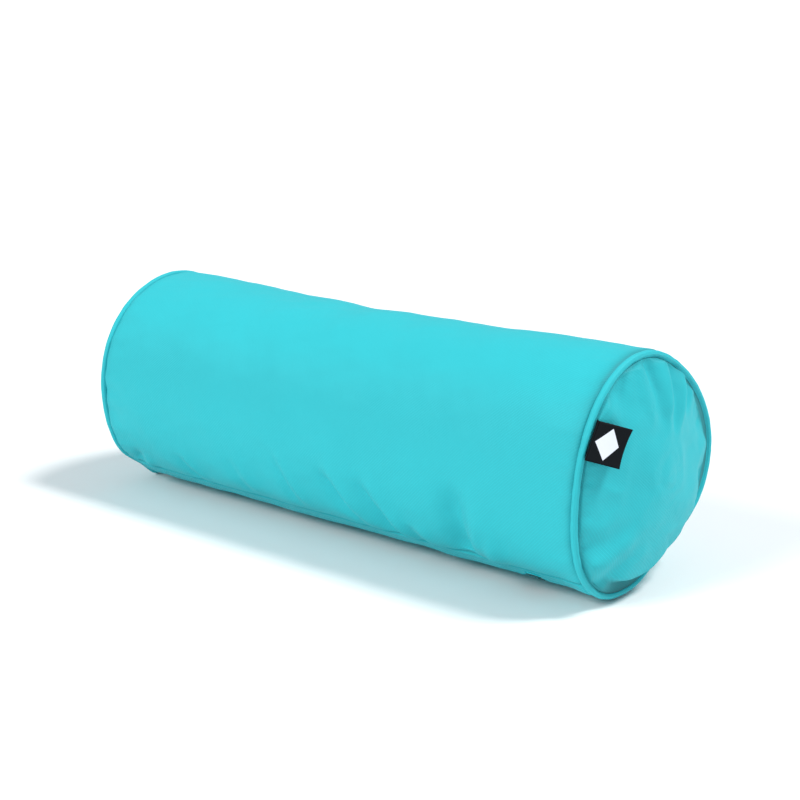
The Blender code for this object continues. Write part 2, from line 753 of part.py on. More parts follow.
def build_cover(zip_frame):
    canvas = cloth("turquoise_canvas", (0.03, 0.53, 0.60))
    cord = cloth("white_cord", (0.85, 0.84, 0.80))
    thread = cloth("turquoise_thread", (0.03, 0.45, 0.52), 0.6)
    care = cloth("care_label_satin", (0.9, 0.9, 0.88), 0.4)
    woven = cloth("black_woven_label", (0.02, 0.02, 0.03), 0.6)
    barrel = add_object("barrel_panel", make_barrel, canvas)
    cut_zip_slot(barrel, zip_frame)
    add_object("zip_placket", make_placket, canvas)
    label_room = LABEL_THICKNESS + GAP
    for name, side, room in (("left", -1, 0.0), ("right", 1, label_room)):
        add_object("end_panel_" + name, make_end_panel(side, room), canvas)
        add_object("piping_cover_" + name, make_piping_cover(side), canvas)
        add_object("piping_cord_" + name, make_piping_cord(side), cord)
        add_object("seam_thread_" + name, make_seam_thread(side, room), thread)
    add_object("side_label_root", make_label_root(label_room), woven)
    add_object("side_label_flap", make_label_flap(label_room), woven)
    add_object("care_label", make_care_label, care)
    run = FLANGE_X - SHOULDER_RADIUS
    placket_point, placket_out = outline_station(UPPER_STITCH_ANGLE)
    upper = (placket_point - PLACKET_INSET * placket_out, placket_out)
    lower = zip_station(-SLOT_HALF_WIDTH - LOWER_STITCH, LAP_LEVEL)
    seam = outline_station((TUCK_ANGLE + PLACKET_SEAM_ANGLE) / 2)
    add_object("zip_thread_upper", make_thread_run(upper, run), thread)
    add_object("zip_thread_lower", make_thread_run(lower, TAPE_HALF_LENGTH), thread)
    add_object("placket_seam_thread", make_thread_run(seam, run), thread)


def build_zip(zip_frame):
    tape = cloth("zip_tape", (0.02, 0.36, 0.42))
    nylon = cloth("zip_nylon", (0.03, 0.03, 0.035), 0.45)
    metal = cloth("zip_enamel", (0.015, 0.015, 0.018), 0.35, 0.6)
    add_object("zip_tape_upper", make_upper_tape, tape, zip_frame)
    add_object("zip_tape_lower", make_lower_tape, tape, zip_frame)
    for name, side in (("upper", 1), ("lower", -1)):
        add_object("zip_coil_" + name, make_coil(side), nylon, zip_frame)
        add_object("zip_top_stop_" + name, make_top_stop(side), nylon, zip_frame)
    add_object("zip_bottom_stop", make_bottom_stop, nylon, zip_frame)
    slider = add_object("zip_slider", make_slider, metal, zip_frame)
    slider.location = (SLIDER_X, 0, 0)
    union_parts(slider)
    tab = add_object("zip_pull_tab", make_tab, metal, slider)
    tab.location = PIVOT
    union_parts(tab)


def build_pad():
    lining = cloth("liner_cloth", (0.86, 0.86, 0.84))
    fibre = cloth("hollow_fibre", (0.93, 0.93, 0.92), 0.95)
    add_object("liner_barrel", make_liner_barrel, lining)
    for name, side in (("left", -1), ("right", 1)):
        add_object("liner_end_" + name, make_liner_end(side), lining)
    add_object("fibre_filling", make_filling, fibre)


def main():
    clear_scene()
    zip_frame = bpy.data.objects.new("zip_frame", None)
    zip_frame.matrix_world = Matrix.Translation(ZIP_ORIGIN) @ Matrix.Rotation(
        math.radians(ZIP_ANGLE - 90), 4, "X"
    )
    bpy.context.scene.collection.objects.link(zip_frame)
    build_cover(zip_frame)
    build_zip(zip_frame)
    build_pad()


main()
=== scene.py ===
import math

import bmesh
import bpy
import numpy as np
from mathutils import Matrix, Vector
from mathutils.bvhtree import BVHTree


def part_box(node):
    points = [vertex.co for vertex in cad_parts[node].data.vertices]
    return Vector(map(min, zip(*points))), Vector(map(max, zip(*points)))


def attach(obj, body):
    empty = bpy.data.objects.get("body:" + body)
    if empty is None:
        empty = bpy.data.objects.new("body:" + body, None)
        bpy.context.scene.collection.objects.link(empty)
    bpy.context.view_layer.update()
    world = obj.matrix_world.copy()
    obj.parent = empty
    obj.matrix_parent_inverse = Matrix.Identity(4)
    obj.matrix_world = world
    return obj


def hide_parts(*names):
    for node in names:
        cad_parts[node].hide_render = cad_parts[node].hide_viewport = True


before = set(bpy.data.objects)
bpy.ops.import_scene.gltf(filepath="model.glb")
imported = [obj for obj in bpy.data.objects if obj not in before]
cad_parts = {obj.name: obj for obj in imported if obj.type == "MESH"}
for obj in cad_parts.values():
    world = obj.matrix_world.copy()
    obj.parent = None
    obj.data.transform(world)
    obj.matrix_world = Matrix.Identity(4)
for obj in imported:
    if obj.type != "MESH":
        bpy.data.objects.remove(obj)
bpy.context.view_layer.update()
mm = 0.001
tau = 2 * math.pi

ringLow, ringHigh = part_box("piping_cover_right")
barrelLow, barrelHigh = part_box("barrel_panel")
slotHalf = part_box("zip_coil_upper")[1].x + 6 * mm  # half the length of the opening for the zip
roundRadius = (barrelHigh.y - barrelLow.y) / 2

bolster = {
    "pipingRadius": (ringHigh.x - ringLow.x) / 2,
    "ringX": (ringLow.x + ringHigh.x) / 2,
    "radius": roundRadius,
    "axisHeight": barrelHigh.z - roundRadius,
    "floorSoftness": 3.4 * mm,
    "swell": 2.0 * mm,  # how far the barrel stands out of the rings
    "localReach": 120 * mm,  # how far a ring's own dents run along the barrel
    "zipAngle": 240,
    "zipHold": 17,  # degrees each side of the zip where the outline keeps its pattern shape
    # waves round each ring, as shares of the radius: height of the centre, two waves, three waves, lean
    # and its own dents: turn and half width in degrees, share of the radius
    "right": {
        "rise": 0.031, "two": (0.004, 0.0), "three": (0.054, -0.014), "leanZ": 0.028, "leanY": 0.007,
        "local": [(301, 25, -0.105), (85, 28, 0.030), (50, 22, 0.016)],
    },
    "left": {
        "rise": -0.014, "two": (-0.028, 0.011), "three": (0.009, 0.020), "leanZ": -0.002, "leanY": -0.007,
        "local": [(238, 15, -0.075), (82, 30, 0.036)],
    },
}


def smooth(value):
    value = np.clip(value, 0, 1)
    return value * value * (3 - 2 * value)


def bell(value):
    return np.exp(-value * value)


def turnGap(turn, centre):
    return (turn - centre + 180) % 360 - 180


def unevenness(u, v, size, seed, waves=14):
    # a soft random field of about unit height, whose bumps are about size across
    rng = np.random.default_rng(seed)
    total = np.zeros(np.broadcast(u, v).shape)
    for _ in range(waves):
        heading = rng.uniform(0, tau)
        pitch = size * rng.uniform(0.7, 1.9)
        phase = rng.uniform(0, tau)
        total += np.cos(tau / pitch * (u * math.cos(heading) + v * math.sin(heading)) + phase)
    return total / math.sqrt(waves / 2)


def outline(x, turn, inset, swell=0.0):
    # points of the settled shape: x along the bolster, turn in degrees round it, inset below its face
    x, turn, inset = np.broadcast_arrays(*[np.asarray(value, float) for value in (x, turn, inset)])
    ringX, radius = bolster["ringX"], bolster["radius"]
    a = np.radians(turn)
    share = smooth(x / ringX / 2 + 0.5)
    ends = []
    for side in ("left", "right"):
        shape = bolster[side]
        r = 1 + shape["two"][0] * np.cos(2 * a) + shape["two"][1] * np.sin(2 * a)
        r = r + shape["three"][0] * np.cos(3 * a) + shape["three"][1] * np.sin(3 * a)
        toEnd = np.abs(x - (ringX if side == "right" else -ringX))
        for centre, width, height in shape["local"]:
            r = r + height * bell(turnGap(turn, centre) / width) * bell(toEnd / bolster["localReach"])
        ends.append((r * radius * 0.995, bolster["axisHeight"] + shape["rise"] * radius))
    r = ends[0][0] * (1 - share) + ends[1][0] * share + swell
    centre = ends[0][1] * (1 - share) + ends[1][1] * share
    hold = smooth(1.6 - np.abs(turnGap(turn, bolster["zipAngle"])) / bolster["zipHold"])
    hold = hold * smooth((0.296 - np.abs(x)) / 0.028)
    y = r * np.cos(a) * (1 - hold) + radius * np.cos(a) * hold
    z = (centre + r * np.sin(a)) * (1 - hold) + (bolster["axisHeight"] + radius * np.sin(a)) * hold
    y = y - inset * np.cos(a)
    z = z - inset * np.sin(a)
    floor = np.maximum(inset, 0)
    above = z - floor
    z = floor + 0.5 * (above + np.sqrt(above * above + bolster["floorSoftness"] ** 2))
    right, left = bolster["right"], bolster["left"]
    lean = np.where(x > 0, right["leanZ"], left["leanZ"]) * (z - 0.9 * radius)
    lean = lean + np.where(x > 0, right["leanY"], left["leanY"]) * y
    return np.stack([x + lean * np.abs(x / ringX) ** 3, y, z], -1)


def newObject(name, mesh, material):
    piece = bpy.data.objects.new(name, mesh)
    bpy.context.scene.collection.objects.link(piece)
    mesh.materials.append(material)
    mesh.shade_smooth()
    return piece


def gridMesh(
    name, points, uv, wrapRows=False, wrapColumns=False, keep=None, flip=False, capCentre=False
):
    # points: rows x columns x 3. uv has one more column where the columns wrap
    rows, columns = points.shape[:2]
    rowSpan = rows if wrapRows else rows - 1
    columnSpan = columns if wrapColumns else columns - 1
    i, j = np.meshgrid(np.arange(rowSpan), np.arange(columnSpan), indexing="ij")
    i, j = i.ravel(), j.ravel()
    if keep is not None:
        kept = keep[i, j]
        i, j = i[kept], j[kept]
    i2, j2 = (i + 1) % rows, (j + 1) % columns
    faces = np.stack([i * columns + j, i2 * columns + j, i2 * columns + j2, i * columns + j2], 1)
    ui2, uj2 = i + 1, j + 1
    uvs = np.stack([uv[i, j], uv[ui2, j], uv[ui2, uj2], uv[i, uj2]], 1)
    if flip:
        faces, uvs = faces[:, ::-1], uvs[:, ::-1]
    vertices = points.reshape(-1, 3)
    faceList = faces.tolist()
    uvList = uvs.reshape(-1, 2)
    if capCentre:
        centre = len(vertices)
        vertices = np.vstack([vertices, points[-1].mean(0)])
        last = (rows - 1) * columns
        extra = []
        for k in range(columns):
            fan = [last + k, centre, last + (k + 1) % columns]
            corner = [uv[-1, k], uv[-1].mean(0), uv[-1, k + 1]]
            if flip:
                fan, corner = fan[::-1], corner[::-1]
            faceList.append(fan)
            extra += corner
        uvList = np.vstack([uvList, np.array(extra)])
    mesh = bpy.data.meshes.new(name)
    mesh.from_pydata(vertices.tolist(), [], faceList)
    layer = mesh.uv_layers.new(name="UVMap")
    layer.data.foreach_set("uv", uvList.astype(np.float32).ravel())
    mesh.validate()
    dropLoose(mesh)
    return mesh


def dropLoose(mesh):
    bm = bmesh.new()
    bm.from_mesh(mesh)
    loose = [v for v in bm.verts if not v.link_faces]
    bmesh.ops.delete(bm, geom=loose, context="VERTS")
    bm.to_mesh(mesh)
    bm.free()


def thicken(piece, thickness):
    wall = piece.modifiers.new("clothThickness", "SOLIDIFY")
    wall.thickness = thickness
    wall.offset = -1.0  # inwards
    wall.use_even_offset = False


def nodeTools(tree):
    def add(kind, settings=None, **links):
        node = tree.nodes.new(kind)
        for key, value in (settings or {}).items():
            setattr(node, key, value)
        for key, value in links.items():
            byNumber = key[0] == "i" and key[1:].isdigit()
            socket = node.inputs[int(key[1:]) if byNumber else key.replace("_", " ")]
            if isinstance(value, bpy.types.NodeSocket):
                tree.links.new(value, socket)
            else:
                socket.default_value = value
        return node

    def maths(operation, first, second=0.0, third=0.0):
        node = add("ShaderNodeMath", {"operation": operation}, i0=first, i1=second, i2=third)
        return node.outputs[0]

    return add, maths


def makeGroup(name, inputs, outputs):
    tree = bpy.data.node_groups.new(name, "ShaderNodeTree")
    for label, kind, value in inputs:
        socket = tree.interface.new_socket(name=label, in_out="INPUT", socket_type=kind)
        if value is not None:
            socket.default_value = value
    for label, kind in outputs:
        tree.interface.new_socket(name=label, in_out="OUTPUT", socket_type=kind)
    entry = tree.nodes.new("NodeGroupInput")
    leave = tree.nodes.new("NodeGroupOutput")
    return tree, entry, leave


def makeWeaveGroup():
    # threads over and under in a fine canvas, with the slight diagonal of its finish
    tree, entry, leave = makeGroup(
        "canvasWeave",
        [
            ("Pitch", "NodeSocketFloat", 0.0009),
            ("Slub", "NodeSocketFloat", 0.5),
            ("Diagonal", "NodeSocketFloat", 0.5),
        ],
        [("Height", "NodeSocketFloat"), ("Thread", "NodeSocketFloat")],
    )
    add, maths = nodeTools(tree)
    uv = add("ShaderNodeUVMap", {"uv_map": "UVMap"}).outputs[0]
    wobble = add("ShaderNodeTexNoise", Vector=uv, Scale=420.0, Detail=2.0)
    shift = add("ShaderNodeVectorMath", {"operation": "SCALE"}, i0=wobble.outputs["Color"], Scale=0.0003)
    bent = add("ShaderNodeVectorMath", {"operation": "ADD"}, i0=uv, i1=shift.outputs[0])
    parts = add("ShaderNodeSeparateXYZ", i0=bent.outputs[0])
    across = maths("DIVIDE", parts.outputs[0], entry.outputs["Pitch"])
    along = maths("DIVIDE", parts.outputs[1], entry.outputs["Pitch"])
    warp = maths("SINE", maths("MULTIPLY", across, tau))
    weft = maths("SINE", maths("MULTIPLY", along, tau))
    crossing = maths("MULTIPLY", warp, weft)
    diagonal = maths("SINE", maths("MULTIPLY", maths("ADD", across, along), math.pi))
    slub = add("ShaderNodeTexNoise", Vector=uv, Scale=900.0, Detail=3.0, Roughness=0.6)
    height = maths("MULTIPLY_ADD", diagonal, entry.outputs["Diagonal"], crossing)
    height = maths("MULTIPLY", height, 0.35)
    height = maths("MULTIPLY_ADD", slub.outputs[0], entry.outputs["Slub"], height)
    tree.links.new(height, leave.inputs["Height"])
    tree.links.new(maths("MULTIPLY_ADD", height, 0.5, 0.3), leave.inputs["Thread"])
    return tree


def makeMottleAndPaintedShadeGroup():
    # slow changes of tone from dye, handling and dust, and painted shade near seams and in recesses, read
    # from a vertex attribute
    tree, entry, leave = makeGroup(
        "dyeMottle",
        [
            ("Base", "NodeSocketColor", (1, 1, 1, 1)),
            ("Amount", "NodeSocketFloat", 0.06),
            ("Seam Shade", "NodeSocketFloat", 0.3),
        ],
        [("Color", "NodeSocketColor"), ("Mask", "NodeSocketFloat")],
    )
    add, maths = nodeTools(tree)
    place = add("ShaderNodeTexCoord").outputs["Object"]
    broad = add("ShaderNodeTexNoise", Vector=place, Scale=14.0, Detail=3.0)
    fine = add("ShaderNodeTexNoise", Vector=place, Scale=160.0, Detail=4.0, Roughness=0.65)
    blend = maths("MULTIPLY_ADD", fine.outputs[0], 0.4, maths("MULTIPLY", broad.outputs[0], 0.6))
    signed = maths("MULTIPLY", maths("SUBTRACT", blend, 0.5), 2.0)
    gain = maths("MULTIPLY_ADD", signed, entry.outputs["Amount"], 1.0)
    # painted shade: the colour is darkened near seams and in recesses by this attribute times the seam
    # shade strength
    near = add("ShaderNodeAttribute", {"attribute_name": "seamNear"}).outputs["Fac"]
    dim = maths("SUBTRACT", 1.0, maths("MULTIPLY", near, entry.outputs["Seam Shade"]))
    gain = maths("MULTIPLY", gain, dim)
    scaled = add("ShaderNodeVectorMath", {"operation": "SCALE"}, i0=entry.outputs["Base"], Scale=gain)
    tree.links.new(scaled.outputs[0], leave.inputs["Color"])
    tree.links.new(blend, leave.inputs["Mask"])
    return tree


weaveGroup = makeWeaveGroup()
mottleAndPaintedShadeGroup = makeMottleAndPaintedShadeGroup()


def clothMaterial(name, look):
    material = bpy.data.materials.new(name)
    material.use_nodes = True
    tree = material.node_tree
    add, maths = nodeTools(tree)
    shader = tree.nodes["Principled BSDF"]
    weave = add("ShaderNodeGroup", {"node_tree": weaveGroup})
    for socket, key in (("Pitch", "pitch"), ("Slub", "slub"), ("Diagonal", "diagonal")):
        weave.inputs[socket].default_value = look[key]
    mottle = add("ShaderNodeGroup", {"node_tree": mottleAndPaintedShadeGroup}, Base=(*look["colour"], 1))
    for socket, key in (("Amount", "mottle"), ("Seam Shade", "seamShade")):
        mottle.inputs[socket].default_value = look[key]
    contrast = look["threadContrast"]
    lift = maths("MULTIPLY_ADD", weave.outputs["Thread"], contrast, 1 - contrast / 2)
    shade = add("ShaderNodeVectorMath", {"operation": "SCALE"}, i0=mottle.outputs["Color"], Scale=lift)
    tree.links.new(shade.outputs[0], shader.inputs["Base Color"])
    rough = maths("MULTIPLY_ADD", mottle.outputs["Mask"], 0.12, look["roughness"] - 0.06)
    tree.links.new(rough, shader.inputs["Roughness"])
    bump = add("ShaderNodeBump", Strength=look["bump"], Distance=look["bumpDepth"])
    tree.links.new(weave.outputs["Height"], bump.inputs["Height"])
    tree.links.new(bump.outputs[0], shader.inputs["Normal"])
    shader.inputs["Sheen Weight"].default_value = look["sheen"]
    shader.inputs["Sheen Roughness"].default_value = 0.45
    shader.inputs["Sheen Tint"].default_value = (0.85, 0.98, 1.0, 1.0)
    shader.inputs["Specular IOR Level"].default_value = look["specular"]
    return material


canvasLook = {
    "colour": (0.028, 0.545, 0.610),
    "pitch": 0.0016,  # of the weave's crossings, in metres
    "slub": 0.5,
    "diagonal": 1.0,
    "mottle": 0.05,
    # strength of the painted shade near seams and in recesses
    "seamShade": 0.35,
    "threadContrast": 0.22,
    "roughness": 0.62,
    "bump": 0.5,
    "bumpDepth": 0.00022,
    "sheen": 0.05,
    "specular": 0.3,
}
linerLook = dict(canvasLook, colour=(0.80, 0.80, 0.78), pitch=0.0009, specular=0.2, sheen=0.05)
fibreLook = dict(linerLook, colour=(0.90, 0.90, 0.89), pitch=0.004, slub=1.6, roughness=0.9)
fibreLook.update(bump=0.8, bumpDepth=0.002)
cordLook = dict(linerLook, colour=(0.82, 0.81, 0.76), pitch=0.0016, bump=0.7)
threadLook = dict(canvasLook, colour=(0.035, 0.47, 0.54), pitch=0.0006, sheen=0.05, roughness=0.5)
tapeLook = dict(canvasLook, colour=(0.018, 0.36, 0.42), pitch=0.0008, sheen=0.04, seamShade=0.0)
careLook = dict(linerLook, colour=(0.88, 0.88, 0.86), roughness=0.4, pitch=0.0006)

canvas = clothMaterial("turquoiseCanvas", canvasLook)
linerCloth = clothMaterial("linerCotton", linerLook)
hollowFibre = clothMaterial("hollowFibre", fibreLook)
cordCotton = clothMaterial("pipingCordCotton", cordLook)
sewingThread = clothMaterial("sewingThread", threadLook)
zipTape = clothMaterial("zipTape", tapeLook)
careSatin = clothMaterial("careSatin", careLook)


labelLook = dict(canvasLook, colour=(0.004, 0.006, 0.008), pitch=0.02, bump=0.25, sheen=0.0)
labelLook.update(seamShade=0.0, mottle=0.15, bumpDepth=0.0002, roughness=0.6, specular=0.12)


def labelMaterial():
    # fine black damask with a plain white lozenge woven in
    material = clothMaterial("labelDamask", labelLook)
    tree = material.node_tree
    add, maths = nodeTools(tree)
    shader = tree.nodes["Principled BSDF"]
    dark = shader.inputs["Base Color"].links[0].from_socket
    parts = add("ShaderNodeSeparateXYZ", i0=add("ShaderNodeUVMap", {"uv_map": "UVMap"}).outputs[0])
    reaches = []
    for axis in (0, 1):
        offset = maths("ABSOLUTE", maths("SUBTRACT", parts.outputs[axis], label["markMiddle"][axis]))
        reaches.append(maths("DIVIDE", offset, label["markHalf"][axis]))
    mask = maths("MULTIPLY", maths("SUBTRACT", 1.0, maths("ADD", *reaches)), 40.0)
    mask = add("ShaderNodeMath", {"operation": "ADD", "use_clamp": True}, i0=mask, i1=0.5).outputs[0]
    blend = add("ShaderNodeMix", {"data_type": "RGBA"}, i0=mask)
    tree.links.new(dark, blend.inputs[6])
    blend.inputs[7].default_value = label["markColour"]
    tree.links.new(blend.outputs[2], shader.inputs["Base Color"])
    return material


def hardMaterial(name, look):
    material = bpy.data.materials.new(name)
    material.use_nodes = True
    tree = material.node_tree
    add, maths = nodeTools(tree)
    shader = tree.nodes["Principled BSDF"]
    place = add("ShaderNodeTexCoord").outputs["Object"]
    speck = add("ShaderNodeTexNoise", Vector=place, Scale=look["grain"], Detail=4.0, Roughness=0.6)
    gain = maths("MULTIPLY_ADD", speck.outputs[0], look["mottle"] * 2, 1 - look["mottle"])
    shade = add("ShaderNodeVectorMath", {"operation": "SCALE"}, i0=look["colour"], Scale=gain)
    tree.links.new(shade.outputs[0], shader.inputs["Base Color"])
    rough = maths("MULTIPLY_ADD", speck.outputs[0], 0.25, look["roughness"] - 0.12)
    tree.links.new(rough, shader.inputs["Roughness"])
    bump = add("ShaderNodeBump", Strength=0.3, Distance=0.0001, Height=speck.outputs[0])
    tree.links.new(bump.outputs[0], shader.inputs["Normal"])
    shader.inputs["Metallic"].default_value = look["metallic"]
    shader.inputs["Coat Weight"].default_value = look["coat"]
    return material


nylonLook = {
    "colour": (0.02, 0.30, 0.35),
    "grain": 900.0,
    "mottle": 0.15,
    "roughness": 0.42,
    "metallic": 0.0,
    "coat": 0.0,
}
enamelLook = {
    "colour": (0.014, 0.016, 0.018),
    "grain": 500.0,
    "mottle": 0.3,
    "roughness": 0.38,
    "metallic": 0.0,
    "coat": 0.3,
}
zipNylon = hardMaterial("zipNylon", nylonLook)
zipEnamel = hardMaterial("zipEnamel", enamelLook)


barrel = {
    "columns": 236,
    "rows": 204,
    "seamAngle": 226,  # upper edge, at the placket
    "lapAngle": 236.6,  # edge of the underlap, beneath the placket
    "slotAngle": 243.4,  # edge of the opening for the zip
    "lapLevel": 106.15 * mm,  # of the underlap, from the axis
    "thickness": 0.6 * mm,
    "shoulder": 7 * mm,
    "seamInset": 5.6 * mm,
    "allowance": 6 * mm,
    "foldStrength": 1.5,
    "topSag": {"x": -0.045, "turn": 95, "length": 0.20, "width": 52, "depth": 3.4 * mm},
}

# soft folds: place, half length and half width in metres
# slant in degrees from straight round the barrel
barrelFolds = [
    {"x": 0.020, "turn": 206, "length": 0.026, "width": 0.0075, "slant": 32, "depth": 2.6 * mm},
    {"x": 0.033, "turn": 213, "length": 0.030, "width": 0.0065, "slant": 32, "depth": 2.2 * mm},
    {"x": 0.070, "turn": 211, "length": 0.034, "width": 0.0080, "slant": 28, "depth": 3.4 * mm},
    {"x": 0.088, "turn": 220, "length": 0.026, "width": 0.0065, "slant": 30, "depth": 2.6 * mm},
    {"x": 0.116, "turn": 224, "length": 0.020, "width": 0.0075, "slant": 24, "depth": 2.4 * mm},
    {"x": 0.170, "turn": 208, "length": 0.038, "width": 0.0140, "slant": 3, "depth": 7.0 * mm},
    {"x": 0.196, "turn": 218, "length": 0.026, "width": 0.0060, "slant": -18, "depth": 1.6 * mm},
    {"x": -0.043, "turn": 206, "length": 0.028, "width": 0.0055, "slant": 24, "depth": 1.8 * mm},
    {"x": -0.110, "turn": 212, "length": 0.022, "width": 0.0055, "slant": 22, "depth": 1.1 * mm},
    {"x": -0.187, "turn": 217, "length": 0.020, "width": 0.0052, "slant": 30, "depth": 1.8 * mm},
    {"x": -0.272, "turn": 224, "length": 0.020, "width": 0.0070, "slant": -20, "depth": 3.0 * mm},
    {"x": -0.120, "turn": 20, "length": 0.040, "width": 0.0070, "slant": -24, "depth": 1.3 * mm},
    {"x": -0.080, "turn": 352, "length": 0.030, "width": 0.0060, "slant": -28, "depth": 1.2 * mm},
    {"x": 0.060, "turn": 334, "length": 0.036, "width": 0.0070, "slant": 26, "depth": 1.4 * mm},
    {"x": 0.190, "turn": 4, "length": 0.034, "width": 0.0080, "slant": -12, "depth": 1.5 * mm},
    {"x": -0.240, "turn": 345, "length": 0.026, "width": 0.0070, "slant": 18, "depth": 1.3 * mm},
]


def foldField(x, turn, folds):
    total = np.zeros(np.broadcast(x, turn).shape)
    for fold in folds:
        arc = np.radians(turnGap(turn, fold["turn"])) * bolster["radius"]
        slant = math.radians(fold["slant"])
        along = arc * math.cos(slant) + (x - fold["x"]) * math.sin(slant)
        across = (x - fold["x"]) * math.cos(slant) - arc * math.sin(slant)
        profile = -bell(across / fold["width"]) + 0.55 * bell((across / fold["width"] - 1.9) / 1.3)
        total += barrel["foldStrength"] * fold["depth"] * profile * bell((along / fold["length"]) ** 2)
    return total


def barrelBump(x, turn):
    # how far the cloth stands out of the plain outline
    x, turn = np.broadcast_arrays(x, turn)
    sag = barrel["topSag"]
    free = smooth((np.abs(turnGap(turn, 240)) - 8) / 14)
    lift = foldField(x, turn, barrelFolds)
    sagShape = bell((x - sag["x"]) / sag["length"])
    lift = lift - sag["depth"] * sagShape * bell(turnGap(turn, sag["turn"]) / sag["width"])
    arc = np.radians(turn) * bolster["radius"]
    lift = lift + 0.45 * mm * unevenness(x, arc, 0.085, 3)
    lift = lift + 0.16 * mm * unevenness(x, arc, 0.030, 5)
    toRing = bolster["ringX"] - np.abs(x)
    gathers = unevenness(0 * x, arc, 0.016, 11) + 0.7 * unevenness(0 * x, arc, 0.027, 12)
    lift = lift + 0.26 * mm * gathers * np.exp(-((toRing - 0.012) / 0.020) ** 2)
    return lift * free


def shoulderDip(x):
    toRing = bolster["ringX"] - np.abs(x) - bolster["pipingRadius"] * 0.55
    rounding = np.clip(1 - toRing / barrel["shoulder"], 0, 1)
    return barrel["seamInset"] * (1 - np.sqrt(1 - rounding**2))


def barrelInset(x, turn):
    # the shoulders dip into the ring seams, and the lower edge dips under the placket
    full = turn % 360
    lapFlat = bolster["radius"] - barrel["lapLevel"] / np.cos(np.radians(np.clip(full - 240, -14, 20)))
    lap = np.clip(lapFlat, 0, None) * (turn < 0) * (full < 262) * (full > 230)
    edge = 1.5 * mm * smooth((turn - (barrel["seamAngle"] - 1.6)) / 1.6) ** 2
    return shoulderDip(x) + lap + edge


def barrelGrid(x, turn, extra):
    swell = bolster["swell"] * smooth((bolster["ringX"] - np.abs(x)) / 0.07)
    return outline(x, turn, barrelInset(x, turn) + extra - barrelBump(x, turn), swell)


# stores the painted shade near seams, 0 to 1, by which the cloth material darkens its colour
def addPaintedShadeNearSeams(mesh, values):
    layer = mesh.attributes.new("seamNear", "FLOAT", "POINT")
    layer.data.foreach_set("value", np.asarray(values, np.float32).ravel())


def meshPoints(mesh):
    flat = np.empty(len(mesh.vertices) * 3)
    mesh.vertices.foreach_get("co", flat)
    return flat.reshape(-1, 3)


def makeBarrel():
    ringX, shoulder = bolster["ringX"], barrel["shoulder"]
    endX = ringX - bolster["pipingRadius"] * 0.55
    middle = np.linspace(-(endX - shoulder), endX - shoulder, barrel["rows"] - 20)
    turnIn = endX - shoulder * (1 - np.sin(np.linspace(0, math.pi / 2, 11)[1:]))
    x = np.concatenate([-turnIn[::-1], middle, turnIn])
    lap, crown, edge = barrel["lapAngle"] - 360, -112, barrel["seamAngle"] - 8
    turn = np.concatenate([
        np.linspace(lap, crown, 26)[:-1],
        np.linspace(crown, edge, barrel["columns"] - 36),
        np.linspace(edge, barrel["seamAngle"], 12)[1:],
    ])
    gridX, gridTurn = np.meshgrid(x, turn, indexing="ij")
    points = barrelGrid(gridX, gridTurn, 0.0)
    # the seam allowance, standing down into the bolster beside the piping's fin
    hems = []
    for end in (0, -1):
        hem = outline(x[end] + 0 * turn, turn, barrel["seamInset"] + barrel["allowance"])
        hem[:, 0] = points[end, :, 0] + math.copysign(0.3 * mm, x[end])
        hems.append(hem[None])
    points = np.concatenate([hems[0], points, hems[1]])
    xs = np.concatenate([[x[0] - barrel["allowance"]], x, [x[-1] + barrel["allowance"]]])
    uv = np.stack(np.meshgrid(xs, np.radians(turn) * bolster["radius"], indexing="ij"), -1)
    inSlot = (np.abs((xs[:-1] + xs[1:]) / 2) < slotHalf)[:, None]
    keep = ~(inSlot & ((turn[:-1] + turn[1:]) / 2 < barrel["slotAngle"] - 360)[None, :])
    mesh = gridMesh("coverBarrel", points, uv, keep=keep, flip=True)
    # painted shade: darker within a few millimetres of the ring seams
    toRing = ringX - np.abs(meshPoints(mesh)[:, 0])
    addPaintedShadeNearSeams(mesh, np.exp(-(toRing - 0.002).clip(0) / 0.0035))
    piece = newObject("coverBarrel", mesh, canvas)
    thicken(piece, barrel["thickness"])
    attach(piece, "cushion")
    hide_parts("barrel_panel")
    print("barrel", len(mesh.polygons))


panel = {
    "columns": 240,
    "rows": 60,
    "thickness": 0.6 * mm,
    "tightInset": 5.8 * mm,  # of the seam where the panel is pushed out against the piping
    "slackInset": 13.0 * mm,  # and where it has sunk behind it
    "seamStart": (5.6 * mm, 0.9 * mm),  # inset and reach outwards where the cloth leaves the seam
    "crownTop": 20 * mm,
    "crownBottom": 25 * mm,
    "crownMiddle": 28 * mm,
    "overhang": 8 * mm,  # how far the bulge leans out over the ring
    "puckerStrength": 1.75,
    "seed": 41,
}
# turn in degrees where each panel has sunk, and where it leans out furthest: right, left
sunkPlace = {1: 8, -1: 150}
leanPlace = {1: 306, -1: 225}

